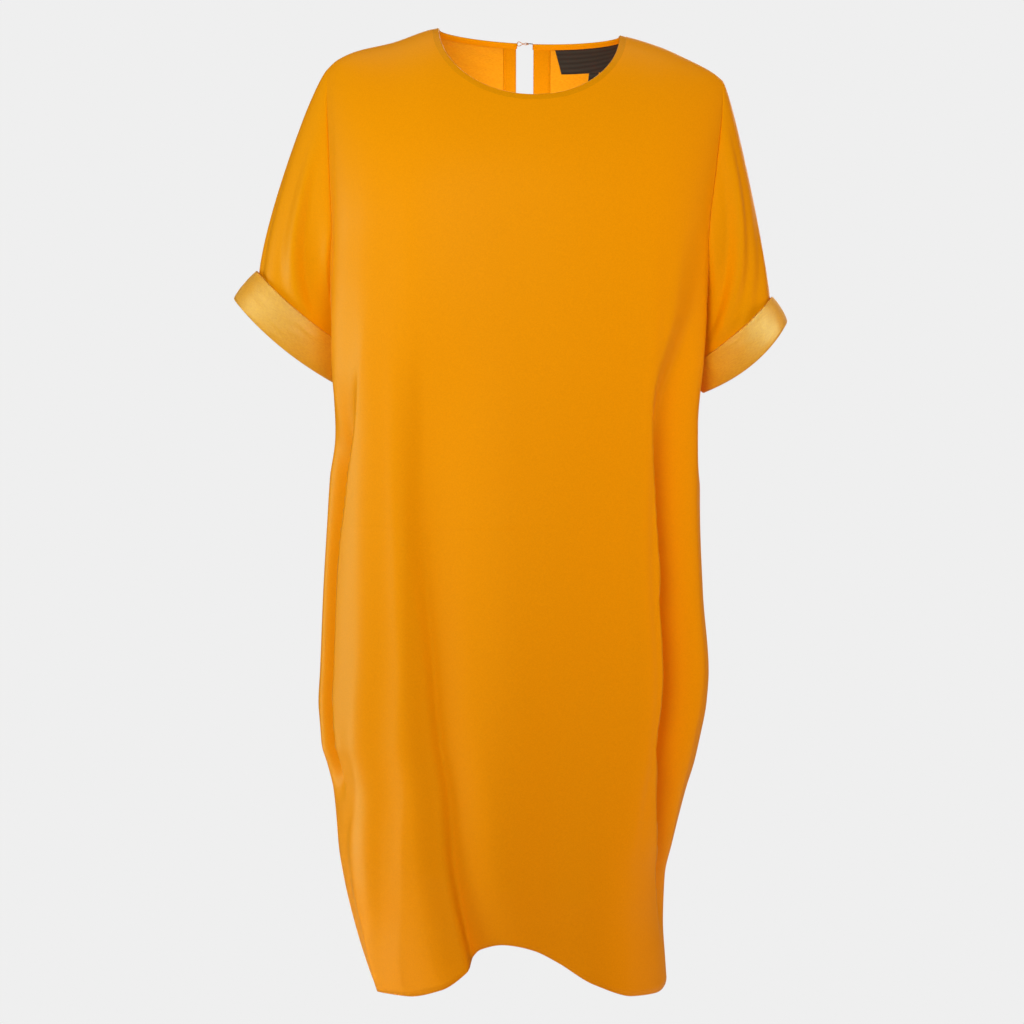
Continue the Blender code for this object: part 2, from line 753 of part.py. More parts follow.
path, facing = neck_path()
tangent = unit(np.gradient(path, axis=0))
inward = unit(np.cross(facing, tangent))
if inward[len(path) // 2, 2] < 0:
    inward = -inward
lift = np.array([0.0, 0.35, 0.7, 1.0])[:, None, None] * BINDING_WIDTH + SEAM_GAP / 2
band = (path + inward * lift)[::-1]
shell(
    "neck_binding",
    draw_back(band, ("start", "end")),
    facing + 0 * band,
    BINDING_WALL,
    material("binding_crepe", CREPE, 0.6),
)


# Facings of the slit, inside the back -------------------------------------
def read_grid(grid, row, column):
    """A grid of points read between its rows and columns."""
    row, column = np.broadcast_arrays(row, column)
    i = np.clip(np.floor(row).astype(int), 0, grid.shape[0] - 2)
    j = np.clip(np.floor(column).astype(int), 0, grid.shape[1] - 2)
    down, over = (row - i)[..., None], (column - j)[..., None]
    upper = grid[i, j] * (1 - over) + grid[i, j + 1] * over
    lower = grid[i + 1, j] * (1 - over) + grid[i + 1, j + 1] * over
    return upper * (1 - down) + lower * down


def laid_inside(name, row, column, wall):
    """Points just inside a back's wall, for a piece of cloth laid against it."""
    points, slant = backs[name]
    facing = unit(read_grid(slant, row, column))
    inset = CLOTH / 2 + SEAM_GAP + wall / 2
    return read_grid(points, row, column) - facing * inset, facing


def row_below_neck(distance):
    """Row of a back at a distance below its neck edge, as a fraction."""
    drop = backs["left"][0][0, 0, 2] - UNDERARM
    return ARMHOLE_ROWS * (distance / drop) ** (1 / ROW_POWER)


FACINGS = {"right": 12.0, "left": 16.0}
for name, width in FACINGS.items():
    points = backs[name][0]
    last = row_below_neck(points[0, 0, 2] - FACING_BOTTOM)
    row = np.concatenate([[row_below_neck(0.5)], np.arange(1, last), [last]])[:, None]
    first_cell = read_grid(points, row, 1.0) - read_grid(points, row, 0.0)
    cell = np.linalg.norm(first_cell, axis=-1)
    column = (SEAM_GAP + np.linspace(0, width, 3)) / cell
    points, facing = laid_inside(name, row, column, FACING_WALL)
    shell(
        f"slit_facing_{name}",
        points,
        facing,
        FACING_WALL,
        material(f"facing_{name}_crepe", CREPE, 0.6),
    )


# Woven label and size tab, bare -------------------------------------------
def neck_column(across):
    """Column of the left back at a place across its neck edge, as a fraction."""
    neck = NECK_CENTRE + NECK_HALF
    share = (across - SLIT_HALF) / (neck - SLIT_HALF)
    return np.degrees(np.arcsin(share)) / 90 * BACK_NECK_CELLS


def hanging_patch(name, start, end, slant, below, depth, cells, finish):
    """A small flat piece inside the back neck; its start leans in by `slant` as it hangs."""
    down = np.linspace(0, 1, 4)[:, None]
    across = np.linspace(0, 1, cells + 1)
    column = neck_column(start + slant * down * (1 - across) + (end - start) * across)
    row = row_below_neck(below + depth * down)
    points, facing = laid_inside("left", row, column, LABEL_WALL)
    return shell(name, points, facing, LABEL_WALL, finish)


hanging_patch(
    "neck_label",
    LABEL_START,
    LABEL_END,
    LABEL_SLANT,
    0.5,
    LABEL_DEPTH,
    8,
    material("label_black", (0.02, 0.019, 0.019), 0.6),
)
hanging_patch(
    "size_tab",
    TAB_START,
    TAB_END,
    0.0,
    LABEL_DEPTH + 0.5 + SEAM_GAP,
    TAB_DEPTH,
    2,
    material("tab_black", (0.03, 0.03, 0.03), 0.6),
)


# Thread loop and hook that close the slit ---------------------------------
def wire(name, points, radius, finish, closed=False):
    """A thin round wire along a few points."""
    curve = bpy.data.curves.new(name, "CURVE")
    curve.dimensions = "3D"
    curve.bevel_depth = radius * MM
    curve.bevel_resolution = 1
    curve.use_fill_caps = not closed
    spline = curve.splines.new("POLY")
    spline.points.add(len(points) - 1)
    for spot, point in zip(spline.points, points):
        spot.co = (*(Vector(point) * MM), 1)
    spline.use_cyclic_u = closed
    curve.materials.append(finish)
    made = bpy.data.objects.new(name, curve)
    dress.objects.link(made)
    return made


LOOP_LENGTH = 11.0
LOOP_HEIGHT = 4.0
THREAD = 0.45
HOOK_WIRE = 0.4
LOOP_STEPS = 14
HOOK_STEPS = 6
HOOK_REACH = 2.0
binding_end = band[1, 0]
slit_inside = np.abs(band[:, [0, -1], 0]).min() - SEAM_GAP
loop_start = THREAD - slit_inside
loop_middle = loop_start + LOOP_LENGTH / 2
loop = []
for step in range(LOOP_STEPS):
    angle = 2 * math.pi * step / LOOP_STEPS
    x = loop_middle + LOOP_LENGTH / 2 * math.cos(angle)
    z = binding_end[2] + LOOP_HEIGHT / 2 * math.sin(angle)
    loop.append((x, binding_end[1], z))
wire("thread_loop", loop, THREAD, material("thread", CREPE, 0.7), closed=True)

bend = loop_middle + LOOP_LENGTH / 2
hook = [(slit_inside, binding_end[1], binding_end[2])]
for step in range(HOOK_STEPS + 1):
    angle = math.pi * step / HOOK_STEPS
    x = bend + 0.2 - HOOK_REACH * math.sin(angle)
    y = binding_end[1] - HOOK_REACH * math.cos(angle)
    hook.append((x, y, binding_end[2]))
wire("neck_hook", hook, HOOK_WIRE, material("hook_wire", (0.75, 0.6, 0.3), 0.3, 1.0))
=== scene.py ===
# %% [markdown]
# # A boxy shift dress with turned-up cuffs
#
# The real dress is cut from crepe-back satin, one cloth with two faces: a matte,
# pebbled crepe face worn outside and a smooth satin face inside. It hangs from the
# shoulders in a box shape, wide at the hip and drawn in at the hem. Its sleeves end
# in cuffs turned up with the satin out. It shows in worn form with nobody in it.
#
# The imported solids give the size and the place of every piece. This script dresses
# them: each piece of cloth is worked out again from the same sizes, far finer, with
# the small folds and the sewing that a solid leaves out.

import math
from collections import namedtuple

import bpy
import numpy as np
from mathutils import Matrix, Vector


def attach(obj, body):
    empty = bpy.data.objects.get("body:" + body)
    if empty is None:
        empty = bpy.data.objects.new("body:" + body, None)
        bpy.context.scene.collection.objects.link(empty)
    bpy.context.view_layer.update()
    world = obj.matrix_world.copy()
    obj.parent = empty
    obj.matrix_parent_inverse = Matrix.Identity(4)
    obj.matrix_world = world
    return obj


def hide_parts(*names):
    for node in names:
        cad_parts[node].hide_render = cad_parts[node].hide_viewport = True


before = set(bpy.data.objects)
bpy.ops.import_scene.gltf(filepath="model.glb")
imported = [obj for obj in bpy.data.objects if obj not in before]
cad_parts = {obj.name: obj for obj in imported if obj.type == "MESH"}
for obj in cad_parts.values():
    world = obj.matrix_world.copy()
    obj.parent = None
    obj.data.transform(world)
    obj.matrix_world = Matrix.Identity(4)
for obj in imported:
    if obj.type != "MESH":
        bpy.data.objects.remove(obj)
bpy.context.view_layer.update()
print("solids:", sorted(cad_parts))

# %% [markdown]
# ## Units and colours
#
# The sizes below are in millimetres, as a pattern cutter gives them, and MM turns
# them into Blender's metres. Colours are written as sRGB hex, as a colour picker
# shows them. Blender's shaders add up light in linear values, so one function
# turns the hex code into those. No cloth is one flat colour: each finish has a shade
# and a face colour, and a pattern of its own mixes the two.

# %% Units, colours and helpers for shader nodes
MM = 0.001


def linear(code):
    """Linear red, green and blue of an sRGB hex code."""
    parts = [int(code[i : i + 2], 16) / 255 for i in (1, 3, 5)]
    return [p / 12.92 if p <= 0.04045 else ((p + 0.055) / 1.055) ** 2.4 for p in parts]


def set_inputs(node, **values):
    """Give a node's inputs, by name, a value each or a link from another node."""
    for name, value in values.items():
        socket = node.inputs[name.replace("_", " ")]
        if isinstance(value, bpy.types.NodeSocket):
            node.id_data.links.new(value, socket)
        else:
            socket.default_value = value


def add_node(tree, kind, settings=(), **inputs):
    """A shader node with its settings and its inputs."""
    made = tree.nodes.new("ShaderNode" + kind)
    for name, value in dict(settings).items():
        setattr(made, name, value)
    set_inputs(made, **inputs)
    return made


def new_material(name):
    """An empty material, its node tree and its main shader."""
    made = bpy.data.materials.new(name)
    made.use_nodes = True
    tree = made.node_tree
    return made, tree, tree.nodes["Principled BSDF"]


def two_tone(tree, shader, pattern, shade, face, contrast=0.4):
    """Base colour that a pattern mixes from a shade and a face colour."""
    ramp = add_node(tree, "ValToRGB", Fac=pattern)
    low, high = ramp.color_ramp.elements
    low.position, high.position = 0.5 - contrast / 2, 0.5 + contrast / 2
    low.color, high.color = (*linear(shade), 1), (*linear(face), 1)
    set_inputs(shader, Base_Color=ramp.outputs["Color"])


# %% [markdown]
# ## Crepe, the outer face
#
# Polyester crepe is woven from hard-twisted yarn that curls and pebbles the surface.
# To the eye it is matte and even, with a faint grain and a soft bloom of light where
# the cloth turns away. A weave pattern would be wrong here, because crepe has no
# clear ribs, so the grain comes from noise. The pebbles of the real cloth are about
# 0.4 mm across, too fine to show from three metres, so they are drawn at 1.3 mm.
# Marigold dye sends back almost all red light, so a white gloss would wash it out.
# The gloss is tinted green instead, which brightens it towards yellow.
#
# The front was packed folded across its middle, and a faint pressed line is left at
# that height. It is a small step in the bump, strongest on the wearer's right. The
# binding and the facings are the same crepe in darker colours.

# %% Crepe
PEBBLE = 1.3 * MM
POLYESTER_IOR = 1.5
PRESSED_AT, MARK_WIDTH, MARK_STEP = -479 * MM, 1.6 * MM, 0.25 * MM
MARK_ENDS, MARK_FULL = 100 * MM, -40 * MM


def pressed_line(tree, place, normal, height):
    """Normal with a faint pressed line at a height, which fades across the cloth."""
    spot = add_node(tree, "SeparateXYZ", Vector=place)
    smooth = {"interpolation_type": "SMOOTHSTEP"}
    step, fade = (
        add_node(
            tree, "MapRange", smooth, Value=spot.outputs[axis], From_Min=start, From_Max=end
        ).outputs[0]
        for axis, start, end in (
            ("Z", height - MARK_WIDTH, height + MARK_WIDTH),
            ("X", MARK_ENDS, MARK_FULL),
        )
    )
    line = add_node(tree, "Bump", Height=step, Normal=normal, Strength=fade, Distance=MARK_STEP)
    return line.outputs["Normal"]


def crepe(name, face, shade, line_at=None):
    """Crepe in one colour, with a second that the grain wanders to."""
    made, tree, shader = new_material(name)
    place = add_node(tree, "TexCoord").outputs["Object"]
    grain = add_node(tree, "TexNoise", Vector=place, Scale=1 / PEBBLE, Detail=2.0).outputs["Fac"]
    two_tone(tree, shader, grain, shade, face)
    pebbles = add_node(tree, "Bump", Height=grain, Strength=0.25, Distance=0.25 * MM)
    normal = pebbles.outputs["Normal"]
    set_inputs(
        shader,
        Normal=normal if line_at is None else pressed_line(tree, place, normal, line_at),
        Roughness=0.45,
        IOR=POLYESTER_IOR,
        Specular_IOR_Level=0.3,
        Specular_Tint=(*linear("#89FFB3"), 1),
        Sheen_Weight=0.25,
        Sheen_Roughness=0.2,
        Sheen_Tint=(*linear("#FFE0A0"), 1),
    )
    return made


CREPE = crepe("crepe_marigold", "#FC9A00", "#F69400")
FRONT_CREPE = crepe("crepe_front_panel", "#FC9A00", "#F69400", line_at=PRESSED_AT)
BOUND_CREPE = crepe("crepe_binding", "#F29400", "#E88C00")
TURNED_CREPE = crepe("crepe_turned_in", "#E28C00", "#D88200")

# %% [markdown]
# ## Satin, the inner face
#
# Satin lets each yarn float over several others, so the surface is smooth and sends
# light back in one broad, soft patch. The cuffs show it turned up, and so does the
# inside of the neck. A lower roughness gives the gloss; stretched noise at a slant
# gives its silky grain, and a wide noise the unevenness of a pressed band. The
# floats are 0.15 mm wide, drawn here at 1 mm.

# %% Satin
FLOAT, RUMPLE = 1.0 * MM, 11 * MM


def satin(name, face, shade):
    """Satin in one colour, with a second for the grain of its floats."""
    made, tree, shader = new_material(name)
    place = add_node(tree, "TexCoord").outputs["UV"]
    slant = add_node(
        tree, "Mapping", Vector=place, Rotation=(0, 0, math.radians(38)), Scale=(0.35, 1, 1)
    ).outputs["Vector"]
    floats = add_node(tree, "TexNoise", Vector=slant, Scale=1 / FLOAT, Detail=3.0).outputs["Fac"]
    two_tone(tree, shader, floats, shade, face)
    wide = add_node(tree, "TexNoise", Vector=slant, Scale=1 / RUMPLE, Detail=1.0).outputs["Fac"]
    rumple = add_node(tree, "Bump", Height=wide, Strength=0.5, Distance=3 * MM).outputs["Normal"]
    ribs = add_node(
        tree, "Bump", Height=floats, Normal=rumple, Strength=0.4, Distance=0.3 * MM
    )
    set_inputs(
        shader,
        Normal=ribs.outputs["Normal"],
        Roughness=0.55,
        IOR=POLYESTER_IOR,
        Specular_IOR_Level=1.0,
        Specular_Tint=(*linear("#D8F4B0"), 1),
        Sheen_Weight=0.15,
        Sheen_Tint=(*linear("#FFE6B8"), 1),
    )
    return made


SATIN = satin("satin_marigold", "#F4A412", "#E88C02")

# %% [markdown]
# ## Ribbon, thread and wire
#
# The neck label is a black woven ribbon, left bare. Its real ribs are about 0.3 mm
# apart and are drawn far coarser, at 5.65 mm, as a soft shading of the ribbon. The
# wave pattern has a band each tenth of pi at a scale of one. Sewing thread is polyester
# dyed to the cloth. The hook is bent from brass wire, a metal, so its colour comes from
# what it reflects and it keeps the default IOR.

# %% Ribbon, thread and wire
RIB, TWIST = 5.65 * MM, 0.6 * MM
WAVE_BAND = math.pi / 10


def ribbon(name, face, shade):
    """Woven ribbon with ribs across it."""
    made, tree, shader = new_material(name)
    ribs = add_node(
        tree,
        "TexWave",
        {"bands_direction": "Y"},
        Vector=add_node(tree, "TexCoord").outputs["UV"],
        Scale=WAVE_BAND / RIB,
        Distortion=0.6,
        Detail=2.0,
    ).outputs["Fac"]
    two_tone(tree, shader, ribs, shade, face, contrast=1.0)
    bump = add_node(tree, "Bump", Height=ribs, Strength=0.3, Distance=0.1 * MM)
    set_inputs(shader, Normal=bump.outputs["Normal"], Roughness=0.6, IOR=POLYESTER_IOR)
    return made


def twisted(name, face, shade, roughness, metallic):
    """Thread or wire: a colour that winds along it."""
    made, tree, shader = new_material(name)
    place = add_node(tree, "TexCoord").outputs["Object"]
    wind = add_node(tree, "TexNoise", Vector=place, Scale=1 / TWIST, Detail=1.0)
    two_tone(tree, shader, wind.outputs["Fac"], shade, face, contrast=0.3)
    set_inputs(shader, Roughness=roughness, Metallic=metallic)
    return made


RIBBON = ribbon("ribbon_black", "#383531", "#2B2825")
THREAD = twisted("thread_marigold", "#E88A00", "#CE7400", 0.7, 0.0)
BRASS = twisted("brass_wire", "#D8B060", "#C09848", 0.28, 1.0)
FINISHES = (CREPE, FRONT_CREPE, BOUND_CREPE, TURNED_CREPE, SATIN, RIBBON, THREAD, BRASS)
print("materials:", [finish.name for finish in FINISHES])

# %% [markdown]
# ## The shape of the body
#
# Cloth that hangs from the shoulders takes a form that changes with height, so the
# body is a stack of ovals. Each row of the table gives how far the oval reaches to
# each side, to the front and to the back, and how square it is: 2 is an ellipse and
# more is boxier. A smooth curve is drawn through the rows. Modelling by hand would
# give the same form, but a table can be read and changed one size at a time.

# %% Ovals of the body
Section = namedtuple("Section", "height right_arm left_arm front back square")
SECTIONS = (
    Section(20, 196, 196, 104, 94, 2.5),
    Section(-60, 196, 196, 106, 96, 2.5),
    Section(-128, 193, 189, 109, 98, 2.5),
    Section(-190, 190, 181, 112, 100, 2.5),
    Section(-252, 189, 178, 113, 102, 2.6),
    Section(-320, 186, 173, 111, 104, 2.7),
    Section(-380, 185, 168, 109, 106, 2.6),
    Section(-455, 189, 168, 107, 109, 2.4),
    Section(-541, 194, 171, 107, 112, 2.3),
    Section(-616, 197, 176.5, 108, 115, 2.3),
    Section(-645, 198.5, 174.5, 109, 116, 2.3),
    Section(-684, 197, 167, 111, 118, 2.3),
    Section(-705, 191, 162, 112, 118, 2.3),
    Section(-727, 186, 155, 113, 118, 2.3),
    Section(-781, 182.5, 141, 115, 118, 2.4),
    Section(-812, 177.5, 134, 116, 118, 2.4),
    Section(-855, 168, 132.5, 117, 117, 2.3),
    Section(-899, 155.5, 135, 118, 116, 2.3),
    Section(-925, 145.5, 136.5, 118, 115, 2.3),
    Section(-945, 135, 136.5, 118, 115, 2.3),
)
TOP = SECTIONS[0]


def along(rows, at):
    """Columns of a table read at the places `at` of its first column, smoothly."""
    table = np.array(sorted(rows), dtype=float)
    places, values = table[:, 0], table[:, 1:]
    at = np.clip(np.asarray(at, dtype=float), places[0], places[-1])
    step = np.diff(places)
    slope = np.diff(values, axis=0) / step[:, None]
    before, after = slope[:-1], slope[1:]
    same = before * after > 0
    total = np.where(same, before + after, 1.0)
    middle = np.where(same, 2.0 * before * after / total, 0.0)
    tangent = np.concatenate([slope[:1], middle, slope[-1:]])
    cell = np.clip(np.searchsorted(places, at, side="right") - 1, 0, len(step) - 1)
    t = ((at - places[cell]) / step[cell])[..., None]
    width = step[cell][..., None]
    return (
        (2 * t**3 - 3 * t**2 + 1) * values[cell]
        + (t**3 - 2 * t**2 + t) * width * tangent[cell]
        + (3 * t**2 - 2 * t**3) * values[cell + 1]
        + (t**3 - t**2) * width * tangent[cell + 1]
    )


def unit(vectors):
    """The vectors, each at length one."""
    return vectors / np.linalg.norm(vectors, axis=-1, keepdims=True)


def oval(turn, height):
    """Points of the plain ovals, with the speed and outward way of each."""
    angle = np.radians(turn)
    right_arm, left_arm, front, back, square = np.moveaxis(along(SECTIONS, height), -1, 0)
    side, ahead = np.sin(angle), np.cos(angle)
    reach = np.where(side < 0, right_arm, left_arm)
    depth = np.where(ahead > 0, front, back)
    size = (np.abs(side) ** square + np.abs(ahead) ** square) ** (1 / square)
    x, y = reach * side / size, -depth * ahead / size
    out_x = np.sign(x) * np.abs(x / reach) ** (square - 1) / reach
    out_y = np.sign(y) * np.abs(y / depth) ** (square - 1) / depth
    outward = unit(np.stack([out_x, out_y], axis=-1))
    mean_reach = (right_arm + left_arm + (left_arm - right_arm) * side) / 2
    mean_depth = (front + back + (front - back) * ahead) / 2
    return x, y, outward, np.hypot(mean_reach * ahead, mean_depth * side)


# %% [markdown]
# ## Folds of the body
#
# A wide dress falls into a few deep, soft folds where its fullness has nowhere to
# go. Each fold is a trough down the body: its place in degrees from the centre front,
# the widths of its two sides, how deep the cloth is pressed in, and how far it leans
# under its neighbour, if it does. A depth below zero makes a ridge, and two equal rows
# at an end let a fold run out level. A side is soft, unless its gather is crisp: above
# zero the crease is at its outer edge, and below zero at its bottom. Folds made this
# way can be put exactly where they fall on the real dress, which a cloth simulation
# would not promise.

# %% Folds of the body
Fold = namedtuple("Fold", "height turn before after depth lean", defaults=(0,))
Gather = namedtuple("Gather", "rows crisp_before crisp_after", defaults=(0, 0))
FOLDS = {
    "right_arm_drape": Gather((
        Fold(-250, -54, 26, 22, 0),
        Fold(-320, -58, 28, 20, 1.5),
        Fold(-374, -62, 28, 20, 10, 3),
        Fold(-441, -68, 28, 20, 23, 8),
        Fold(-505, -70, 24, 15, 25, 9),
        Fold(-603, -70, 22, 14, 21, 7),
        Fold(-660, -69, 20, 14, 17, 5),
        Fold(-705, -67, 18, 13, 9, 3),
        Fold(-740, -67, 18, 13, 0),
        Fold(-770, -67, 18, 13, 0),
    ), crisp_after=1),
    "left_arm_drape": Gather((
        Fold(-190, 62, 26, 30, 0),
        Fold(-265, 60, 32, 30, 7, -1),
        Fold(-353, 52, 30, 36, 17, -5),
        Fold(-462, 51, 18, 44, 29, -10),
        Fold(-516, 51, 14, 46, 36, -12),
        Fold(-602, 50, 14, 46, 40, -14),
        Fold(-669, 50, 14, 42, 38, -13),
        Fold(-735, 57, 14, 32, 30, -9),
        Fold(-800, 67, 14, 24, 15, -4),
        Fold(-880, 78, 16, 24, 0),
        Fold(-910, 78, 16, 24, 0),
    ), crisp_before=0.7),
    "front_valley": Gather((
        Fold(-310, -29, 24, 50, 0),
        Fold(-359, -29, 24, 50, 1.2),
        Fold(-415, -29.5, 22, 50, 2),
        Fold(-470, -29.5, 19, 50, 2.6),
        Fold(-526, -28.3, 14, 44, 3.6),
        Fold(-582, -26.6, 10, 40, 5.2),
        Fold(-638, -25, 8, 38, 6),
        Fold(-694, -23.5, 8, 38, 6.5),
        Fold(-750, -22.3, 8, 40, 7.4),
        Fold(-806, -21, 8, 44, 9, -1),
        Fold(-862, -18, 10, 50, 13, -4),
        Fold(-905, -14.5, 13, 44, 23, -8),
        Fold(-945, -12, 16, 42, 32, -13),
    ), crisp_after=-0.5),
    "front_lap": Gather((
        Fold(-230, -29, 34, 84, 0),
        Fold(-300, -29, 32, 84, 3),
        Fold(-355, -29, 30, 84, 7),
        Fold(-415, -29.5, 30, 84, 9),
        Fold(-526, -28.3, 28, 84, 10),
        Fold(-638, -25.5, 28, 84, 9),
        Fold(-750, -23.5, 30, 84, 7.5),
        Fold(-862, -19.5, 34, 80, 5),
        Fold(-945, -14, 44, 60, 0),
    )),
    "right_roll": Gather((
        Fold(-80, -60, 12, 28, 0),
        Fold(-150, -62, 12, 30, -1.6),
        Fold(-240, -64, 12, 32, -3),
        Fold(-330, -66, 14, 34, -5),
        Fold(-400, -68, 14, 30, -4),
        Fold(-450, -70, 14, 26, 0),
        Fold(-480, -70, 14, 26, 0),
    )),
    "left_roll": Gather((
        Fold(-170, 38, 24, 12, 0),
        Fold(-280, 39, 24, 12, -1.6),
        Fold(-400, 39, 24, 10, -2.6),
        Fold(-600, 39, 24, 10, -2.6),
        Fold(-720, 41, 24, 10, -1.6),
        Fold(-820, 42, 24, 12, 0),
        Fold(-860, 42, 24, 12, 0),
    )),
    "hem_front": Gather((
        Fold(-540, -48, 20, 38, 0),
        Fold(-640, -50, 20, 38, -1.2),
        Fold(-750, -54, 20, 46, -3.2),
        Fold(-850, -59, 20, 54, -5),
        Fold(-945, -61, 20, 54, -5),
    )),
    "front_centre": Gather((
        Fold(-560, 12, 80, 80, 0),
        Fold(-760, 10, 80, 80, 9),
        Fold(-945, 9, 76, 76, 17),
    )),
    "side_facet": Gather((
        Fold(-110, -41, 40, 26, 0),
        Fold(-180, -41, 40, 26, 1.6),
        Fold(-340, -41, 32, 24, 2.8),
        Fold(-455, -42, 30, 22, 2.8),
        Fold(-600, -41, 26, 20, 2.4),
        Fold(-700, -42.5, 24, 20, 2.2),
        Fold(-800, -45, 18, 20, 2),
        Fold(-900, -54, 18, 20, 1.4),
    ), crisp_after=0.6),
    "hem_corner": Gather((
        Fold(-650, -72, 40, 30, 0),
        Fold(-712, -71, 40, 30, -1),
        Fold(-776, -70, 40, 28, 1.8),
        Fold(-840, -70, 40, 26, 2.2),
        Fold(-905, -72, 38, 24, 4),
        Fold(-945, -73, 36, 22, 4.5),
    ), crisp_after=0.9),
    "hem_back": Gather((
        Fold(-650, -100, 60, 58, 0),
        Fold(-712, -100, 60, 58, 10),
        Fold(-776, -100, 60, 58, 17),
        Fold(-840, -100, 60, 58, 18),
        Fold(-945, -100, 60, 56, 17),
    )),
    "right_underarm": Gather((
        Fold(-140, -95, 48, 48, 0),
        Fold(-278, -95, 48, 48, 46),
        Fold(-340, -95, 48, 48, 40),
        Fold(-430, -95, 48, 48, 0),
        Fold(-480, -95, 48, 48, 0),
    )),
    "left_underarm": Gather((
        Fold(-140, 95, 48, 48, 0),
        Fold(-278, 95, 48, 48, 46),
        Fold(-350, 95, 48, 48, 42),
        Fold(-440, 95, 48, 48, 0),
        Fold(-490, 95, 48, 48, 0),
    )),
    "back_right_arm": Gather((
        Fold(-330, -122, 40, 40, 0),
        Fold(-520, -124, 38, 38, 12),
        Fold(-700, -126, 38, 38, 18),
        Fold(-945, -128, 36, 36, 22),
    )),
    "back_left_arm": Gather((
        Fold(-380, 126, 40, 40, 0),
        Fold(-560, 126, 40, 40, 10),
        Fold(-740, 130, 38, 38, 16),
        Fold(-945, 132, 36, 36, 20),
    )),
    "back_centre": Gather((
        Fold(-480, 170, 60, 60, 0),
        Fold(-700, 170, 60, 60, 8),
        Fold(-945, 168, 56, 56, 14),
    )),
}

Shoulder = namedtuple("Shoulder", "across height")
SHOULDER_LINE = (
    Shoulder(-196, -44),
    Shoulder(-190, -36),
    Shoulder(-180, -27),
    Shoulder(-162, -19),
    Shoulder(-128, -11),
    Shoulder(-85, 3),
    Shoulder(0, 12),
    Shoulder(93, -4),
    Shoulder(130, -15),
    Shoulder(157, -27),
    Shoulder(180, -39),
    Shoulder(190, -47),
    Shoulder(196, -54),
)
FRONT_ROUND, BACK_ROUND = 170.0, 130.0
CAP_POWER = 0.6


def shoulder_height(across):
    """Height of the shoulder line at a place across the body."""
    return along(SHOULDER_LINE, across)[..., 0]


def pressed(gather, place, along_it, speed):
    """How far a gather presses cloth in and pushes it sideways, in millimetres."""
    middle, before, after, depth, lean = np.moveaxis(along(gather.rows, along_it), -1, 0)
    apart = np.radians((place - middle + 180) % 360 - 180) * speed
    t = np.clip(apart / np.where(apart < 0, before, after), -1, 1)
    crisp = np.where(apart < 0, gather.crisp_before, gather.crisp_after)
    edged = np.where(crisp > 0, 1 - t**2, (1 - np.abs(t)) ** 2)
    press = (1 - np.abs(crisp)) * np.cos(t * math.pi / 2) ** 2 + np.abs(crisp) * edged
    return depth * press, lean * press


def body(turn, height):
    """Points of the body: its ovals with the folds, closed over the shoulders."""
    turn, height = np.broadcast_arrays(np.asarray(turn, float), np.asarray(height, float))
    x, y, outward, speed = oval(turn, height)
    for gather in FOLDS.values():
        deep, aside = pressed(gather, turn, height, speed)
        x = x - outward[..., 0] * deep + aside
        y = y - outward[..., 1] * deep
    roundness = np.where(y < 0, FRONT_ROUND, BACK_ROUND)
    down = np.clip((shoulder_height(x) - height) / roundness, 0, 1)
    y = y * (1 - (1 - down) ** 2) ** CAP_POWER
    return np.stack([x, y, height], axis=-1)


def slants(turn, height):
    """Outward way of the body's surface at each point."""
    nudge_turn, nudge_height = 0.3, 0.8
    across = body(turn + nudge_turn, height) - body(turn - nudge_turn, height)
    downward = body(turn, height - nudge_height) - body(turn, height + nudge_height)
    return unit(np.cross(downward, across))


# %% [markdown]
# ## Panels
#
# The body is sewn from three panels: a front cut on the fold and two backs that meet
# at a centre seam, open above it as a slit. A panel is a grid of points on the body.
# Its rows run from the neck and shoulder edge to the hem, and its columns fan from
# the neck to the armhole, as the grain of the cloth does.

# %% Grid of a panel
FINE = 6
NECK_CELLS, SHOULDER_CELLS, BACK_NECK_CELLS = 12 * FINE, 8 * FINE, 6 * FINE
ARMHOLE_ROWS, SKIRT_ROWS, SLEEVE_ROWS = 12 * FINE, 18 * FINE, 9 * FINE
ROW_POWER = 1.6
SETTLE_ROWS = 9 * FINE
UNDERARM = -278.0
NECK_CENTRE, NECK_HALF = 4.0, 93.0
NECK_DROP_FRONT, NECK_DROP_BACK = 75.0, 8.0
NECK_SQUARE, NECK_ROUND = 2.1, 0.52
FRONT_FAN = 0.92
SLIT_HALF, SLIT_BOTTOM, SLIT_SQUARE, SLIT_ROUND = 8.6, -142.0, 5, 0.7

Armhole = namedtuple("Armhole", "height front back")
ARMHOLE_EDGE = (
    Armhole(20, 70, 110),
    Armhole(-190, 70, 110),
    Armhole(-230, 74, 109),
    Armhole(-258, 82, 105),
    Armhole(-278, 90, 90),
    Armhole(-300, 90, 90),
)

Hem = namedtuple("Hem", "turn height")
HEM = (
    Hem(-180, -884),
    Hem(-120, -892),
    Hem(-90, -906),
    Hem(-70, -916),
    Hem(-45, -917),
    Hem(-30, -909),
    Hem(-20, -892),
    Hem(-14, -872),
    Hem(-7, -867),
    Hem(3, -872),
    Hem(14, -884),
    Hem(28, -904),
    Hem(45, -917),
    Hem(62, -918),
    Hem(80, -912),
    Hem(110, -896),
    Hem(180, -884),
)


def turn_at(across, face):
    """Degrees round the top oval of a place across it, on the front or the back."""
    reach = np.where(across < 0, TOP.right_arm, TOP.left_arm)
    share = np.clip(np.abs(across) / reach, 0, 1)
    turn = np.degrees(np.arctan2(share, (1 - share**TOP.square) ** (1 / TOP.square)))
    turn = np.sign(across) * turn
    return turn if face == "front" else np.where(across < 0, -180 - turn, 180 - turn)


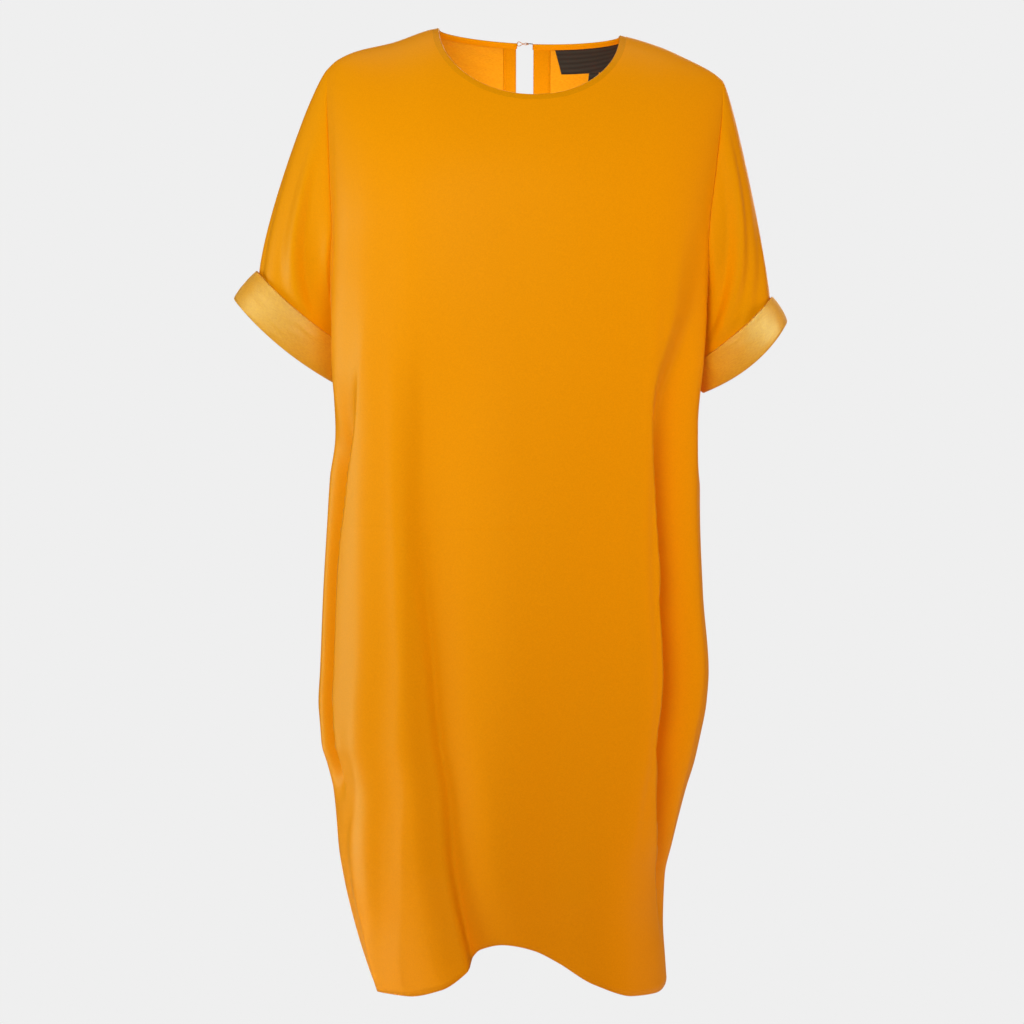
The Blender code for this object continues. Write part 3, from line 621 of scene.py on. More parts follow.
def neck_height(across, drop):
    """Height of the cut neck edge: an oval that hangs from the neck points."""
    share = np.clip((across - NECK_CENTRE) / NECK_HALF, -1, 1)
    low, high = shoulder_height(NECK_CENTRE + NECK_HALF * np.array([-1, 1]))
    chord = (low + high) / 2 + share * (high - low) / 2
    return chord - drop * (1 - np.abs(share) ** NECK_SQUARE) ** NECK_ROUND


def spread(start, end, cells, power=1.0):
    """Values from start to end, closer together near the start as power grows."""
    return start + (end - start) * np.linspace(0, 1, cells + 1) ** power


def top_edge(side, face):
    """Places across the top edge of half a panel, from the centre to the shoulder tip."""
    cells = NECK_CELLS if face == "front" else BACK_NECK_CELLS
    neck = NECK_CENTRE + side * NECK_HALF
    start = NECK_CENTRE if face == "front" else side * SLIT_HALF
    around = start + (neck - start) * np.sin(np.radians(spread(0, 90, cells)))
    reach = TOP.right_arm if side < 0 else TOP.left_arm
    edge = np.radians(ARMHOLE_EDGE[0].front)
    size = (np.sin(edge) ** TOP.square + np.cos(edge) ** TOP.square) ** (1 / TOP.square)
    tip = side * reach * np.sin(edge) / size
    return np.concatenate([around, spread(neck, tip, SHOULDER_CELLS)[1:]])


def slit_half(height):
    """Half the width of the slit at the centre back; nothing below its end."""
    down = np.clip(height / SLIT_BOTTOM, 0, 1)
    return SLIT_HALF * (1 - down**SLIT_SQUARE) ** SLIT_ROUND


def half_panel(side, face):
    """Turn and height over half the front or the back, from the centre to the side."""
    across = top_edge(side, face)
    neck_cells = NECK_CELLS if face == "front" else BACK_NECK_CELLS
    drop = NECK_DROP_FRONT if face == "front" else NECK_DROP_BACK
    top = shoulder_height(across)
    top[:neck_cells] = neck_height(across[:neck_cells], drop)
    share = np.linspace(0, 1, len(across))
    upper = top + (UNDERARM - top) * spread(0, 1, ARMHOLE_ROWS, ROW_POWER)[:, None]
    spaced = side * (90 * share**FRONT_FAN if face == "front" else 180 - 90 * share)
    hem = along(HEM, spaced)[:, 0]
    lower = UNDERARM + (hem - UNDERARM) * spread(0, 1, SKIRT_ROWS)[1:, None]
    height = np.concatenate([upper, lower])
    front_edge, back_edge = along(ARMHOLE_EDGE, height[:, -1:])[:, 0].T[..., None]
    if face == "front":
        even = side * front_edge * share**FRONT_FAN
    else:
        start = 180 - np.degrees(slit_half(height[:, :1]) / TOP.right_arm)
        even = side * (start + (back_edge - start) * share)
    mix = np.clip(np.arange(len(height)) / SETTLE_ROWS, 0, 1)[:, None]
    mix = mix * mix * (3 - 2 * mix)
    top_turn = turn_at(across, face)
    return top_turn + (even - top_turn) * mix, height


def seam_slant(across):
    """Way that the shoulder seam faces, square to its line."""
    rise = (shoulder_height(across + 1) - shoulder_height(across - 1)) / 2
    return unit(np.stack([-rise, 0 * rise, 1 + 0 * rise], axis=-1))


def panel(turn, height, on_neck):
    """Points of a panel and the way that they face."""
    points, facing = body(turn, height), slants(turn, height)
    facing[0, ~on_neck] = seam_slant(points[0, ~on_neck, 0])
    return points, facing


front_halves = [half_panel(side, "front") for side in (-1, 1)]
front_turn, front_height = (
    np.concatenate([front_halves[0][k][:, ::-1], front_halves[1][k][:, 1:]], axis=1)
    for k in (0, 1)
)
front_neck = np.abs(np.arange(front_turn.shape[1]) - NECK_CELLS - SHOULDER_CELLS) < NECK_CELLS
front_points, front_slant = panel(front_turn, front_height, front_neck)

backs = {}
for name, side in (("right", -1), ("left", 1)):
    turn, height = half_panel(side, "back")
    backs[name] = panel(turn, height, np.arange(turn.shape[1]) < BACK_NECK_CELLS)
print("front grid:", front_points.shape[:2], "back grid:", backs["left"][0].shape[:2])

# %% [markdown]
# ## Cuffs and sleeves
#
# Each sleeve is one piece sewn into a long armhole and set off by a cuff: a band of
# satin turned up over the sleeve end. The cuff is a tilted ring, given at its fold and
# at its raised edge, and its section is a narrow U with a rounded fold at the bottom.
# The ring is egg-shaped, narrower towards the body. The sleeve runs from the armhole
# to the cuff on smooth curves, so it leaves the body softly and arrives nearly square
# to the cuff.
#
# A soft ridge runs from the shoulder to the cuff of each sleeve, with a crease outside
# it or inside it and one more behind the arm. They are placed as the body's folds are,
# by how far down the sleeve and how far round it they lie. The ridges run out before
# the cuff, which would otherwise be pierced.

# %% Rings of the cuffs and grids of the sleeves
Ring = namedtuple("Ring", "x z length depth sag")
CUFFS = {
    "right": {
        "side": -1,
        "fold": Ring(-279.0, -259.0, 127.0, 76.0, 6.5),
        "edge": Ring(-256.5, -232.0, 120.5, 78.0, 5.0),
        "fall": 39.5,
        "puff": 0.09,
    },
    "left": {
        "side": 1,
        "fold": Ring(251.0, -281.0, 100.0, 84.0, 9.0),
        "edge": Ring(236.5, -257.0, 98.5, 86.0, 4.0),
        "fall": 40.5,
        "puff": 0.05,
    },
}
CUFF_DEPTH, CUFF_BACK, CUFF_EGG = 37.0, 8.0, 0.35
SLEEVE_END = 8.0
SLEEVE_DROP, UNDERARM_DROP, UNDERARM_BACK = 0.95, 0.5, 0.6
UNDERARM_PUFF, HANG, UNDERARM_HANG, CUFF_LEAN = 0.18, 0.29, 0.05, 0.11

Turnup = namedtuple("Turnup", "along out above")
CUFF_SECTION = (
    Turnup(0, 0.0, 8.0),
    Turnup(4, 0.0, 3.5),
    Turnup(7, 0.5, 1.3),
    Turnup(9, 1.7, 0.3),
    Turnup(11, 2.9, 1.3),
    Turnup(14, 3.5, 3.8),
    Turnup(24, 4.4, 14.0),
    Turnup(35, 4.2, 25.0),
    Turnup(47, 3.0, 36.5),
)


def cuff_ring(cuff, around, above, out):
    """Points round a cuff, at a height above its fold and a distance out from it."""
    turn = np.radians(around)
    fold, edge = np.array(cuff["fold"]), np.array(cuff["edge"])
    x, z, length, depth, sag = fold + (edge - fold) * above / CUFF_DEPTH
    fall = math.radians(cuff["fall"])
    inward = np.array([-cuff["side"] * math.cos(fall), 0, -math.sin(fall)])
    axis = np.array([cuff["side"] * math.sin(fall), 0, -math.cos(fall)])
    front = np.array([0, -1, 0])
    share_in = (1 - np.cos(turn)) / 2
    width = np.sin(turn) * (1 - CUFF_EGG * share_in)
    sagging = axis * (sag * np.clip(np.sin(turn), 0, 1) ** 2)[:, None]
    rim = np.array([x, CUFF_BACK, z]) + share_in[:, None] * inward * length
    rim = rim + width[:, None] * front * depth / 2
    outward = unit(
        -np.cos(turn)[:, None] * inward / length + np.sin(turn)[:, None] * front / depth
    )
    return rim + sagging + outward * out, outward


def ring_turns(ring):
    """Degrees round the cuff for each point of the armhole, by its share of length."""
    half = len(ring) // 2
    lengths = np.linalg.norm(np.diff(np.concatenate([ring, ring[:1]]), axis=0), axis=1)
    before = np.concatenate([[0], np.cumsum(lengths)])
    front = 180 * before[: half + 1] / before[half]
    back = 180 + 180 * (before[half:] - before[half]) / (before[-1] - before[half])
    return np.concatenate([front, back[1:-1]])


Crease = namedtuple("Crease", "down around before after depth lean", defaults=(0,))
SLEEVE_FOLDS = {
    "right": (
        Gather((
            Crease(0.0, 46, 30, 20, 0),
            Crease(0.2, 48, 30, 20, -1),
            Crease(0.42, 58, 24, 20, -4.5),
            Crease(0.62, 70, 24, 20, -6),
            Crease(0.76, 80, 24, 20, -4.8),
            Crease(0.88, 88, 28, 20, -0.8),
            Crease(0.96, 92, 26, 20, 0),
            Crease(1.02, 92, 26, 20, 0),
        )),
        Gather((
            Crease(0.3, 2, 12, 20, 0),
            Crease(0.6, 9, 12, 20, 1.4),
            Crease(0.75, 14, 12, 20, 2.1),
            Crease(0.9, 22, 12, 20, 2.2),
            Crease(1.02, 34, 12, 20, 1.5),
        ), crisp_before=-0.4),
        Gather((
            Crease(0.4, -70, 18, 18, 0),
            Crease(0.6, -64, 18, 18, 3),
            Crease(0.9, -60, 18, 18, 4),
            Crease(1.05, -58, 18, 18, 2),
        )),
    ),
    "left": (
        Gather((
            Crease(0.0, 40, 20, 34, 0),
            Crease(0.2, 46, 30, 36, -3),
            Crease(0.4, 58, 30, 36, -6.5),
            Crease(0.6, 80, 28, 34, -7.5),
            Crease(0.76, 102, 26, 26, -5),
            Crease(0.88, 106, 20, 22, -0.8),
            Crease(0.96, 110, 20, 22, 0),
            Crease(1.02, 110, 20, 22, 0),
        )),
        Gather((
            Crease(0.5, 14, 16, 20, 0),
            Crease(0.65, 24, 16, 22, 1.5),
            Crease(0.8, 46, 20, 22, 2.5),
            Crease(1.02, 70, 20, 22, 2),
        )),
        Gather((
            Crease(0.4, -66, 18, 18, 0),
            Crease(0.65, -62, 18, 18, 3),
            Crease(0.9, -58, 18, 18, 4),
            Crease(1.05, -58, 18, 18, 2),
        )),
    ),
}


def sleeve_grid(cuff, ring, gathers):
    """Rows of points from the armhole down the sleeve into its cuff."""
    around = ring_turns(ring)
    top, _ = cuff_ring(cuff, around, CUFF_DEPTH, 0)
    end, outward = cuff_ring(cuff, around, SLEEVE_END, 0)
    length = np.linalg.norm(top - ring, axis=1)[:, None]
    under = ((1 - np.cos(np.radians(around))) / 2)[:, None]
    behind = np.clip(-np.sin(np.radians(around)), 0, 1)[:, None]
    out_and_down = np.array([cuff["side"], 0, -SLEEVE_DROP])
    drop, back = np.array([0, 0, UNDERARM_DROP]), np.array([0, UNDERARM_BACK, 0])
    leave = unit(out_and_down - under * drop - behind * under * back)
    arrive = unit(np.array([-cuff["side"] * CUFF_LEAN, 0, 0.99]) + 0 * ring)
    first = ring + leave * length * (cuff["puff"] + UNDERARM_PUFF * under)
    second = top + arrive * length * (HANG - UNDERARM_HANG * under)
    share = np.linspace(0, 1, SLEEVE_ROWS - FINE)[:, None, None]
    loft = (
        (1 - share) ** 3 * ring
        + 3 * (1 - share) ** 2 * share * first
        + 3 * (1 - share) * share**2 * second
        + share**3 * top
    )
    tucked = np.linspace(0, 1, FINE + 1)[1:, None, None] * (end - top) + top
    points = np.concatenate([loft, tucked])
    facing = tube_slants(points, cuff["side"])
    down = np.arange(len(points))[:, None] / (len(points) - 1) + 0 * around
    rounds = np.linalg.norm(np.roll(points, -1, axis=1) - points, axis=-1).sum(axis=1)
    speed = rounds[:, None] / (2 * math.pi)
    deep = sum(pressed(gather, around, down, speed)[0] for gather in gathers)
    return points - facing * deep[..., None], outward


def tube_slants(points, side):
    """Outward way at each point of a tube on one side of the body."""
    across = np.roll(points, -1, axis=1) - np.roll(points, 1, axis=1)
    return unit(np.cross(np.gradient(points, axis=0), across)) * -side


# %% [markdown]
# ## Cloth as a thin shell
#
# A sheet with no thickness has no edge to catch the light and can't show two faces.
# So each grid becomes a closed shell: one layer of the crepe outside, one of the
# satin inside, and a rounded rim between them. The rim bulges on free edges, such as
# the hem, where the cloth is folded over, and stays flat in a seam. There the edge of
# the outer face is marked sharp, or smooth shading would darken the cloth beside it.

# %% A shell of cloth over a grid
CLOTH, RIM_BULGE = 1.1, 0.4
SEAM_SMOOTHING = 3 * FINE
collection = bpy.data.collections.new("shift_dress_looks")
bpy.context.scene.collection.children.link(collection)


def lengths_over(points):
    """Distance across and down a grid to each point, for a texture that lies on it."""
    across = np.linalg.norm(np.diff(points, axis=1), axis=-1)
    down = np.linalg.norm(np.diff(points, axis=0), axis=-1)
    across = np.concatenate([np.zeros((len(points), 1)), np.cumsum(across, axis=1)], axis=1)
    down = np.concatenate([np.zeros((1, points.shape[1])), np.cumsum(down, axis=0)])
    return np.stack([across - across.mean(axis=1, keepdims=True), -down], axis=-1)


def perimeter(rows, columns, closed):
    """Loops of grid places round the free edges, in the order that the rim runs."""
    if closed:
        ring = [(0, j) for j in range(columns)]
        return [ring, [(rows - 1, j) for _, j in reversed(ring)]]
    return [
        [(0, j) for j in range(columns - 1)]
        + [(i, columns - 1) for i in range(rows - 1)]
        + [(rows - 1, j) for j in range(columns - 1, 0, -1)]
        + [(i, 0) for i in range(rows - 1, 0, -1)]
    ]


def away_from(points, i, j, closed, bulging):
    """Way out of the grid's edge at a place, nothing on an edge that stays flat."""
    rows, columns = points.shape[:2]
    way = np.zeros(3)
    if i == 0 and "top" in bulging:
        way += unit(points[0, j] - points[1, j])
    if i == rows - 1 and "bottom" in bulging:
        way += unit(points[-1, j] - points[-2, j])
    if not closed and j == 0 and "start" in bulging:
        way += unit(points[i, 0] - points[i, 1])
    if not closed and j == columns - 1 and "end" in bulging:
        way += unit(points[i, -1] - points[i, -2])
    return way


def sharpen(mesh, count, seams):
    """Let the outer face run to a flat seam edge without shading into the rim."""
    ends = np.zeros(2 * len(mesh.edges), dtype=np.int32)
    mesh.edges.foreach_get("vertices", ends)
    ends = ends.reshape(-1, 2)
    sharp = (ends < count).all(axis=1) & seams[np.minimum(ends, count - 1)].all(axis=1)
    mark = mesh.attributes.new("sharp_edge", "BOOLEAN", "EDGE")
    mark.data.foreach_set("value", sharp)


def grid_faces(rows, columns, closed):
    """The four corners of each cell of a grid, in turn round the cell."""
    at = np.arange(rows * columns).reshape(rows, columns)
    if closed:
        at = np.concatenate([at, at[:, :1]], axis=1)
    corners = (at[:-1, :-1], at[1:, :-1], at[1:, 1:], at[:-1, 1:])
    return np.stack(corners, axis=-1).reshape(-1, 4)


def facing_out(places, faces):
    """The faces of a closed shell, turned over if they look inwards."""
    a, b, c, d = np.moveaxis(places[faces], 1, 0)
    volume = (a * (np.cross(b, c) + np.cross(c, d))).sum()
    return faces if volume > 0 else faces[:, ::-1]


def smooth_object(name, places, faces, finishes):
    """An object from points in millimetres and faces, shaded smooth."""
    mesh = bpy.data.meshes.new(name)
    mesh.from_pydata((np.asarray(places) * MM).tolist(), [], faces)
    for finish in finishes:
        mesh.materials.append(finish)
    mesh.shade_smooth()
    made = bpy.data.objects.new(name, mesh)
    collection.objects.link(made)
    return made


def cloth(name, points, slant, finishes, wall=CLOTH, above=None, closed=False, bulging=()):
    """A closed shell: its outer face `above` the grid, or else half a wall from it."""
    rows, columns = points.shape[:2]
    outer = points + slant * (wall / 2 if above is None else above)
    places = [outer.reshape(-1, 3), (outer - slant * wall).reshape(-1, 3)]
    count = rows * columns
    outside = grid_faces(rows, columns, closed)
    faces = [outside, outside[:, [0, 3, 2, 1]] + count]
    uv = lengths_over(points).reshape(-1, 2)
    uvs, first = [uv, uv], 2 * count
    seams = np.zeros(count, dtype=bool)
    for loop in perimeter(rows, columns, closed):
        edge = np.array([i * columns + j for i, j in loop])
        ways = np.array([away_from(points, i, j, closed, bulging) for i, j in loop])
        seams[edge[~ways.any(axis=1)]] = True
        places.append((places[0][edge] + places[1][edge]) / 2 + ways * RIM_BULGE * wall)
        uvs.append(uv[edge])
        rim = first + np.arange(len(edge))
        first += len(edge)
        edge_next, rim_next = np.roll(edge, -1), np.roll(rim, -1)
        faces.append(np.stack([edge, edge_next, rim_next, rim], axis=-1))
        faces.append(np.stack([rim, rim_next, edge_next + count, edge + count], axis=-1))
    places, faces = np.concatenate(places), np.concatenate(faces)
    finish_of = np.zeros(len(faces), dtype=np.int32)
    finish_of[len(outside) : 2 * len(outside)] = len(finishes) - 1
    faces = facing_out(places, faces)
    made = smooth_object(name, places, faces.tolist(), finishes)
    mesh = made.data
    mesh.polygons.foreach_set("material_index", finish_of)
    layer = mesh.uv_layers.new(name="cloth")
    layer.uv.foreach_set("vector", (np.concatenate(uvs)[faces.ravel()] * MM).ravel())
    mesh.validate()
    sharpen(mesh, count, seams)
    print(f"{name}: {2 * len(faces)} triangles")
    return made


# %% [markdown]
# ## Sewing the sleeves in
#
# A seam pulls the cloth in a little. So the ring of points that a sleeve shares with
# the body is sunk below the cloth beside it: not at all at the shoulder, where the
# seam is pressed flat, and by 0.9 mm from the chest down. The sleeve and the body also
# share the way that they face along the armhole, so the light runs over the seam
# without a jump.

# %% Armholes
SEAM_DIP, DIP_STARTS, DIP_FULL = 0.9, -45.0, -110.0


def ring_dip(height):
    """Depth of the ditch along an armhole at a height."""
    share = np.clip((height - DIP_STARTS) / (DIP_FULL - DIP_STARTS), 0, 1)
    return SEAM_DIP * share * share * (3 - 2 * share)


sleeves, rings = {}, {}
for name, cuff in CUFFS.items():
    column = 0 if cuff["side"] < 0 else -1
    back_points, back_slant = backs[name]
    edge = slice(0, ARMHOLE_ROWS + 1)
    behind = slice(ARMHOLE_ROWS - 1, 0, -1)
    ring = np.concatenate([front_points[edge, column], back_points[behind, -1]])
    body_slant = np.concatenate([front_slant[edge, column], back_slant[behind, -1]])
    points, outward = sleeve_grid(cuff, ring, SLEEVE_FOLDS[name])
    facing = tube_slants(points, cuff["side"])
    shared = unit(facing[0] + body_slant)
    for _ in range(SEAM_SMOOTHING):
        shared = unit(np.roll(shared, 1, axis=0) + 2 * shared + np.roll(shared, -1, axis=0))
    facing[0] = shared
    facing[-1] = outward
    sunk = ring_dip(ring[:, 2])[:, None] * shared
    points[0] -= sunk
    front_points[edge, column] -= sunk[: ARMHOLE_ROWS + 1]
    back_points[edge, -1] = np.concatenate([points[:1, 0], points[0, : ARMHOLE_ROWS - 1 : -1]])
    front_slant[edge, column] = shared[: ARMHOLE_ROWS + 1]
    back_slant[edge, -1] = np.concatenate([shared[:1], shared[: ARMHOLE_ROWS - 1 : -1]])
    sleeves[name] = (points, facing)
    rings[name] = ring
    print(f"armhole {name}: {np.linalg.norm(np.diff(ring, axis=0), axis=1).sum():.0f} mm round")

# %% [markdown]
# ## The body's three panels
#
# The hem is turned up once and pressed, so it is the only edge of a panel that bulges.
# All the others end in a seam.

# %% Front and backs
pieces = {}
pieces["front"] = cloth(
    "front_cloth", front_points, front_slant, (FRONT_CREPE, SATIN), bulging=("bottom",)
)
for name, (points, facing) in backs.items():
    pieces[f"back_{name}"] = cloth(
        f"back_{name}_cloth", points, facing, (CREPE, SATIN), bulging=("bottom",)
    )

# %% [markdown]
# ## Sleeves and cuffs
#
# The satin band isn't tacked down all round, so it springs away from the sleeve and
# has shallow dimples that run at a slant from its fold to its raised edge. Only the
# side that faces out has them. The band is one piece with the satin on both faces,
# since the crepe face is hidden inside it.

# %% Sleeves and cuffs
CUFF_SPEED, CUFF_WALL, FACING_OUT = 58.0, 1.6, 3.0
Dimple = namedtuple("Dimple", "above around before after depth lean", defaults=(0,))
CUFF_FOLDS = {
    "right": (
        Gather((Dimple(0, 52, 16, 14, 0.1), Dimple(37, 26, 16, 14, 0.6))),
        Gather((Dimple(0, 104, 18, 16, 0.6), Dimple(37, 76, 16, 14, 0.1))),
        Gather((Dimple(0, 150, 14, 16, 0.5), Dimple(37, 132, 16, 16, 0.2))),
        Gather((Dimple(0, 238, 16, 16, 0.5), Dimple(37, 262, 16, 16, 0.2))),
    ),
    "left": (
        Gather((Dimple(0, 46, 16, 16, 0.5), Dimple(37, 30, 16, 14, 0.1))),
        Gather((Dimple(0, 100, 16, 16, 0.1), Dimple(37, 76, 16, 16, 0.6))),
        Gather((Dimple(0, 236, 16, 16, 0.2), Dimple(37, 262, 16, 16, 0.6))),
    ),
}
for name, cuff in CUFFS.items():
    points, facing = sleeves[name]
    pieces[f"sleeve_{name}"] = cloth(
        f"sleeve_{name}_cloth", points, facing, (CREPE, SATIN), closed=True
    )
    around = ring_turns(rings[name])
    length = CUFF_SECTION[-1].along
    section = along(CUFF_SECTION, np.linspace(0, length, length + 1))
    points = np.array([cuff_ring(cuff, around, above, out)[0] for out, above in section])
    facing = tube_slants(points, cuff["side"])
    deep = sum(
        pressed(gather, around, section[:, 1:], CUFF_SPEED)[0] * (section[:, :1] > FACING_OUT)
        for gather in CUFF_FOLDS[name]
    )
    points = points - facing * deep[..., None]
    pieces[f"cuff_{name}"] = cloth(
        f"cuff_{name}_cloth", points, facing, (SATIN,), CUFF_WALL, closed=True, bulging=("bottom",)
    )

# %% [markdown]
# ## Neck binding
#
# The neck edge is closed in a narrow bias strip of the same cloth, folded over it and
# stitched in the ditch. It follows the neck from one side of the slit round to the
# other. Its outer face lies level with the body's and all its extra thickness is
# inside, because the strip wraps the edge.

# %% Neck binding
BINDING_WIDTH, BINDING_WALL, BINDING_CELLS = 5.5, 2.4, 12
FREE_EDGES = ("top", "bottom", "start", "end")
neck = slice(SHOULDER_CELLS, SHOULDER_CELLS + 2 * NECK_CELLS + 1)
path, facing = (
    np.concatenate(
        [
            backs["right"][k][0, :BACK_NECK_CELLS],
            (front_points, front_slant)[k][0, neck],
            backs["left"][k][0, BACK_NECK_CELLS - 1 :: -1],
        ]
    )
    for k in (0, 1)
)
inward = unit(np.cross(facing, unit(np.gradient(path, axis=0))))
if inward[len(path) // 2, 2] < 0:
    inward = -inward
lift = spread(0, BINDING_WIDTH, BINDING_CELLS)[:, None, None]
band = (path + inward * lift)[::-1]
pieces["neck_binding"] = cloth(
    "neck_binding_cloth",
    band,
    facing + 0 * band,
    (BOUND_CREPE,),
    BINDING_WALL,
    above=CLOTH / 2,
    bulging=FREE_EDGES,
)

# %% [markdown]
# ## Slit facings, label and size tab
#
# Narrow facings finish the edges of the slit inside, and the label hangs from the
# binding with the small size tab under it. Each lies flat against the back, so its
# points are read from the back's own grid and moved inside by half of each wall. The
# label's inner end slants a little, as a hanging ribbon's does.

# %% Pieces laid inside the back
FACING_TOP, FACING_BOTTOM, FACING_WALL = 0.3, -156.0, 1.0
FACINGS = {"right": 12.0, "left": 16.0}
FACING_ROWS, FACING_CELLS, FACING_SEAM = 90, 12, 1.6
LABEL_WALL, LABEL_CELLS, TAB_CELLS = 0.8, 60, 12
LABEL_START, LABEL_END, LABEL_BELOW, LABEL_DEPTH, LABEL_SLANT = 30.0, 93.0, 0.5, 21.0, 8.0
TAB_START, TAB_END, TAB_BELOW, TAB_DEPTH = 66.0, 75.0, 21.8, 10.0
LAID_GAP = 0.15


def read_grid(grid, row, column):
    """A grid of points read between its rows and columns."""
    row, column = np.broadcast_arrays(row, column)
    i = np.clip(np.floor(row).astype(int), 0, grid.shape[0] - 2)
    j = np.clip(np.floor(column).astype(int), 0, grid.shape[1] - 2)
    down, over = (row - i)[..., None], (column - j)[..., None]
    upper = grid[i, j] * (1 - over) + grid[i, j + 1] * over
    lower = grid[i + 1, j] * (1 - over) + grid[i + 1, j + 1] * over
    return upper * (1 - down) + lower * down


def laid_inside(name, row, column, wall):
    """Points just inside a back's wall, for a piece of cloth laid against it."""
    points, slant = backs[name]
    facing = unit(read_grid(slant, row, column))
    inset = CLOTH / 2 + LAID_GAP + wall / 2
    return read_grid(points, row, column) - facing * inset, facing


def row_below_neck(distance):
    """Row of a back at a distance below its neck edge, as a fraction."""
    drop = backs["left"][0][0, 0, 2] - UNDERARM
    return ARMHOLE_ROWS * (distance / drop) ** (1 / ROW_POWER)


def neck_column(across):
    """Column of the left back at a place across its neck edge, as a fraction."""
    share = (across - SLIT_HALF) / (NECK_CENTRE + NECK_HALF - SLIT_HALF)
    return np.degrees(np.arcsin(share)) / 90 * BACK_NECK_CELLS


facing_seams = {}
BACK_COLUMNS = np.arange(25)
for name, width in FACINGS.items():
    points = backs[name][0]
    last = row_below_neck(points[0, 0, 2] - FACING_BOTTOM)
    row = np.linspace(row_below_neck(FACING_TOP), last, FACING_ROWS)[:, None]
    steps = np.linalg.norm(np.diff(read_grid(points, row, BACK_COLUMNS[None]), axis=1), axis=-1)
    reach = np.concatenate([np.zeros((len(row), 1)), np.cumsum(steps, axis=1)], axis=1)
    wanted = FACING_TOP + np.linspace(0, width, FACING_CELLS + 1)
    seam = np.array([np.interp(wanted[-1] - FACING_SEAM, r, BACK_COLUMNS) for r in reach])
    facing_seams[name] = laid_inside(name, row[:, 0], seam, FACING_WALL)
    column = np.array([np.interp(wanted, r, BACK_COLUMNS) for r in reach])
    points, facing = laid_inside(name, row, column, FACING_WALL)
    node = f"slit_facing_{name}"
    pieces[node] = cloth(
        f"{node}_cloth", points, facing, (TURNED_CREPE,), FACING_WALL, bulging=FREE_EDGES
    )


def hanging_patch(name, start, end, below, depth, cells, slant=0.0):
    """A small flat piece inside the back neck, hanging below the binding."""
    down = np.linspace(0, 1, cells // 2 + 1)[:, None]
    across = np.linspace(0, 1, cells + 1)
    column = neck_column(start + slant * down * (1 - across) + (end - start) * across)
    row = row_below_neck(below + depth * down)
    points, facing = laid_inside("left", row, column, LABEL_WALL)
    return cloth(name, points, facing, (RIBBON,), LABEL_WALL, bulging=FREE_EDGES)


pieces["neck_label"] = hanging_patch(
    "neck_label_ribbon", LABEL_START, LABEL_END, LABEL_BELOW, LABEL_DEPTH, LABEL_CELLS, LABEL_SLANT
)
pieces["size_tab"] = hanging_patch(
    "size_tab_ribbon", TAB_START, TAB_END, TAB_BELOW, TAB_DEPTH, TAB_CELLS
)

# %% [markdown]
# ## Thread loop and hook
#
# A loop of thread, twisted once, spans the top of the slit from the wearer's right end
# of the binding, and a small hook of brass wire reaches through it from the left end.
# Both are thin and round all along, so each is a curve with a bevel. They pass each
# other without touching.

# %% Thread loop and hook
LOOP_LENGTH, LOOP_HEIGHT, LOOP_SWING, LOOP_THREAD, LOOP_POINTS = 11.0, 4.4, 0.6, 0.32, 64
HOOK_WIRE, HOOK_REACH, HOOK_PAST, HOOK_POINTS = 0.4, 2.0, 0.2, 20
END_INSET = 0.3


def wire(name, points, radius, finish, closed=False):
    """A thin round wire on a smooth curve through a few points."""
    curve = bpy.data.curves.new(name, "CURVE")
    curve.dimensions = "3D"
    curve.bevel_depth = radius * MM
    curve.bevel_resolution = 3
    curve.use_fill_caps = not closed
    spline = curve.splines.new("POLY")
    spline.points.add(len(points) - 1)
    for spot, point in zip(spline.points, points):
        spot.co = (*(c * MM for c in point), 1)
    spline.use_cyclic_u = closed
    curve.materials.append(finish)
    made = bpy.data.objects.new(name, curve)
    collection.objects.link(made)
    return made


_, end_y, end_z = band[1, 0]
inside = np.abs(band[:, [0, -1], 0]).min() - END_INSET
loop_half = LOOP_LENGTH / 2
loop_middle = LOOP_THREAD - inside + loop_half
loop = [
    (
        loop_middle + loop_half * math.cos(angle),
        end_y + LOOP_SWING * math.sin(angle),
        end_z + LOOP_HEIGHT / 2 * math.sin(2 * angle) * math.sin(angle / 2),
    )
    for angle in np.linspace(0, 2 * math.pi, LOOP_POINTS, endpoint=False)
]
pieces["thread_loop"] = wire("thread_loop_worked", loop, LOOP_THREAD, THREAD, closed=True)
bend = loop_middle + loop_half + HOOK_PAST
hook = [(inside, end_y, end_z)] + [
    (bend - HOOK_REACH * math.sin(angle), end_y - HOOK_REACH * math.cos(angle), end_z)
    for angle in np.linspace(0, math.pi, HOOK_POINTS)
]
pieces["neck_hook"] = wire("neck_hook_wire", hook, HOOK_WIRE, BRASS)
print(f"slit at its top: {2 * inside:.1f} mm across")

# %% [markdown]
# ## Stitches
#
# A line of stitches holds the free edge of each facing down inside the slit. Each
# stitch is a small bead of thread with sunk ends, so it reads as thread and not as a
# drawn line.

# %% Stitches on the facings
STITCH, STITCH_GAP, STITCH_START = 2.4, 0.7, 0.6
STITCH_THREAD, STITCH_FLAT, STITCH_LIFT, STITCH_SIDES = 0.2, 1.3, 0.05, 6
SWELL = ((0, 0.3), (0.2, 1), (0.8, 1), (1, 0.3))
AHEAD = 0.5


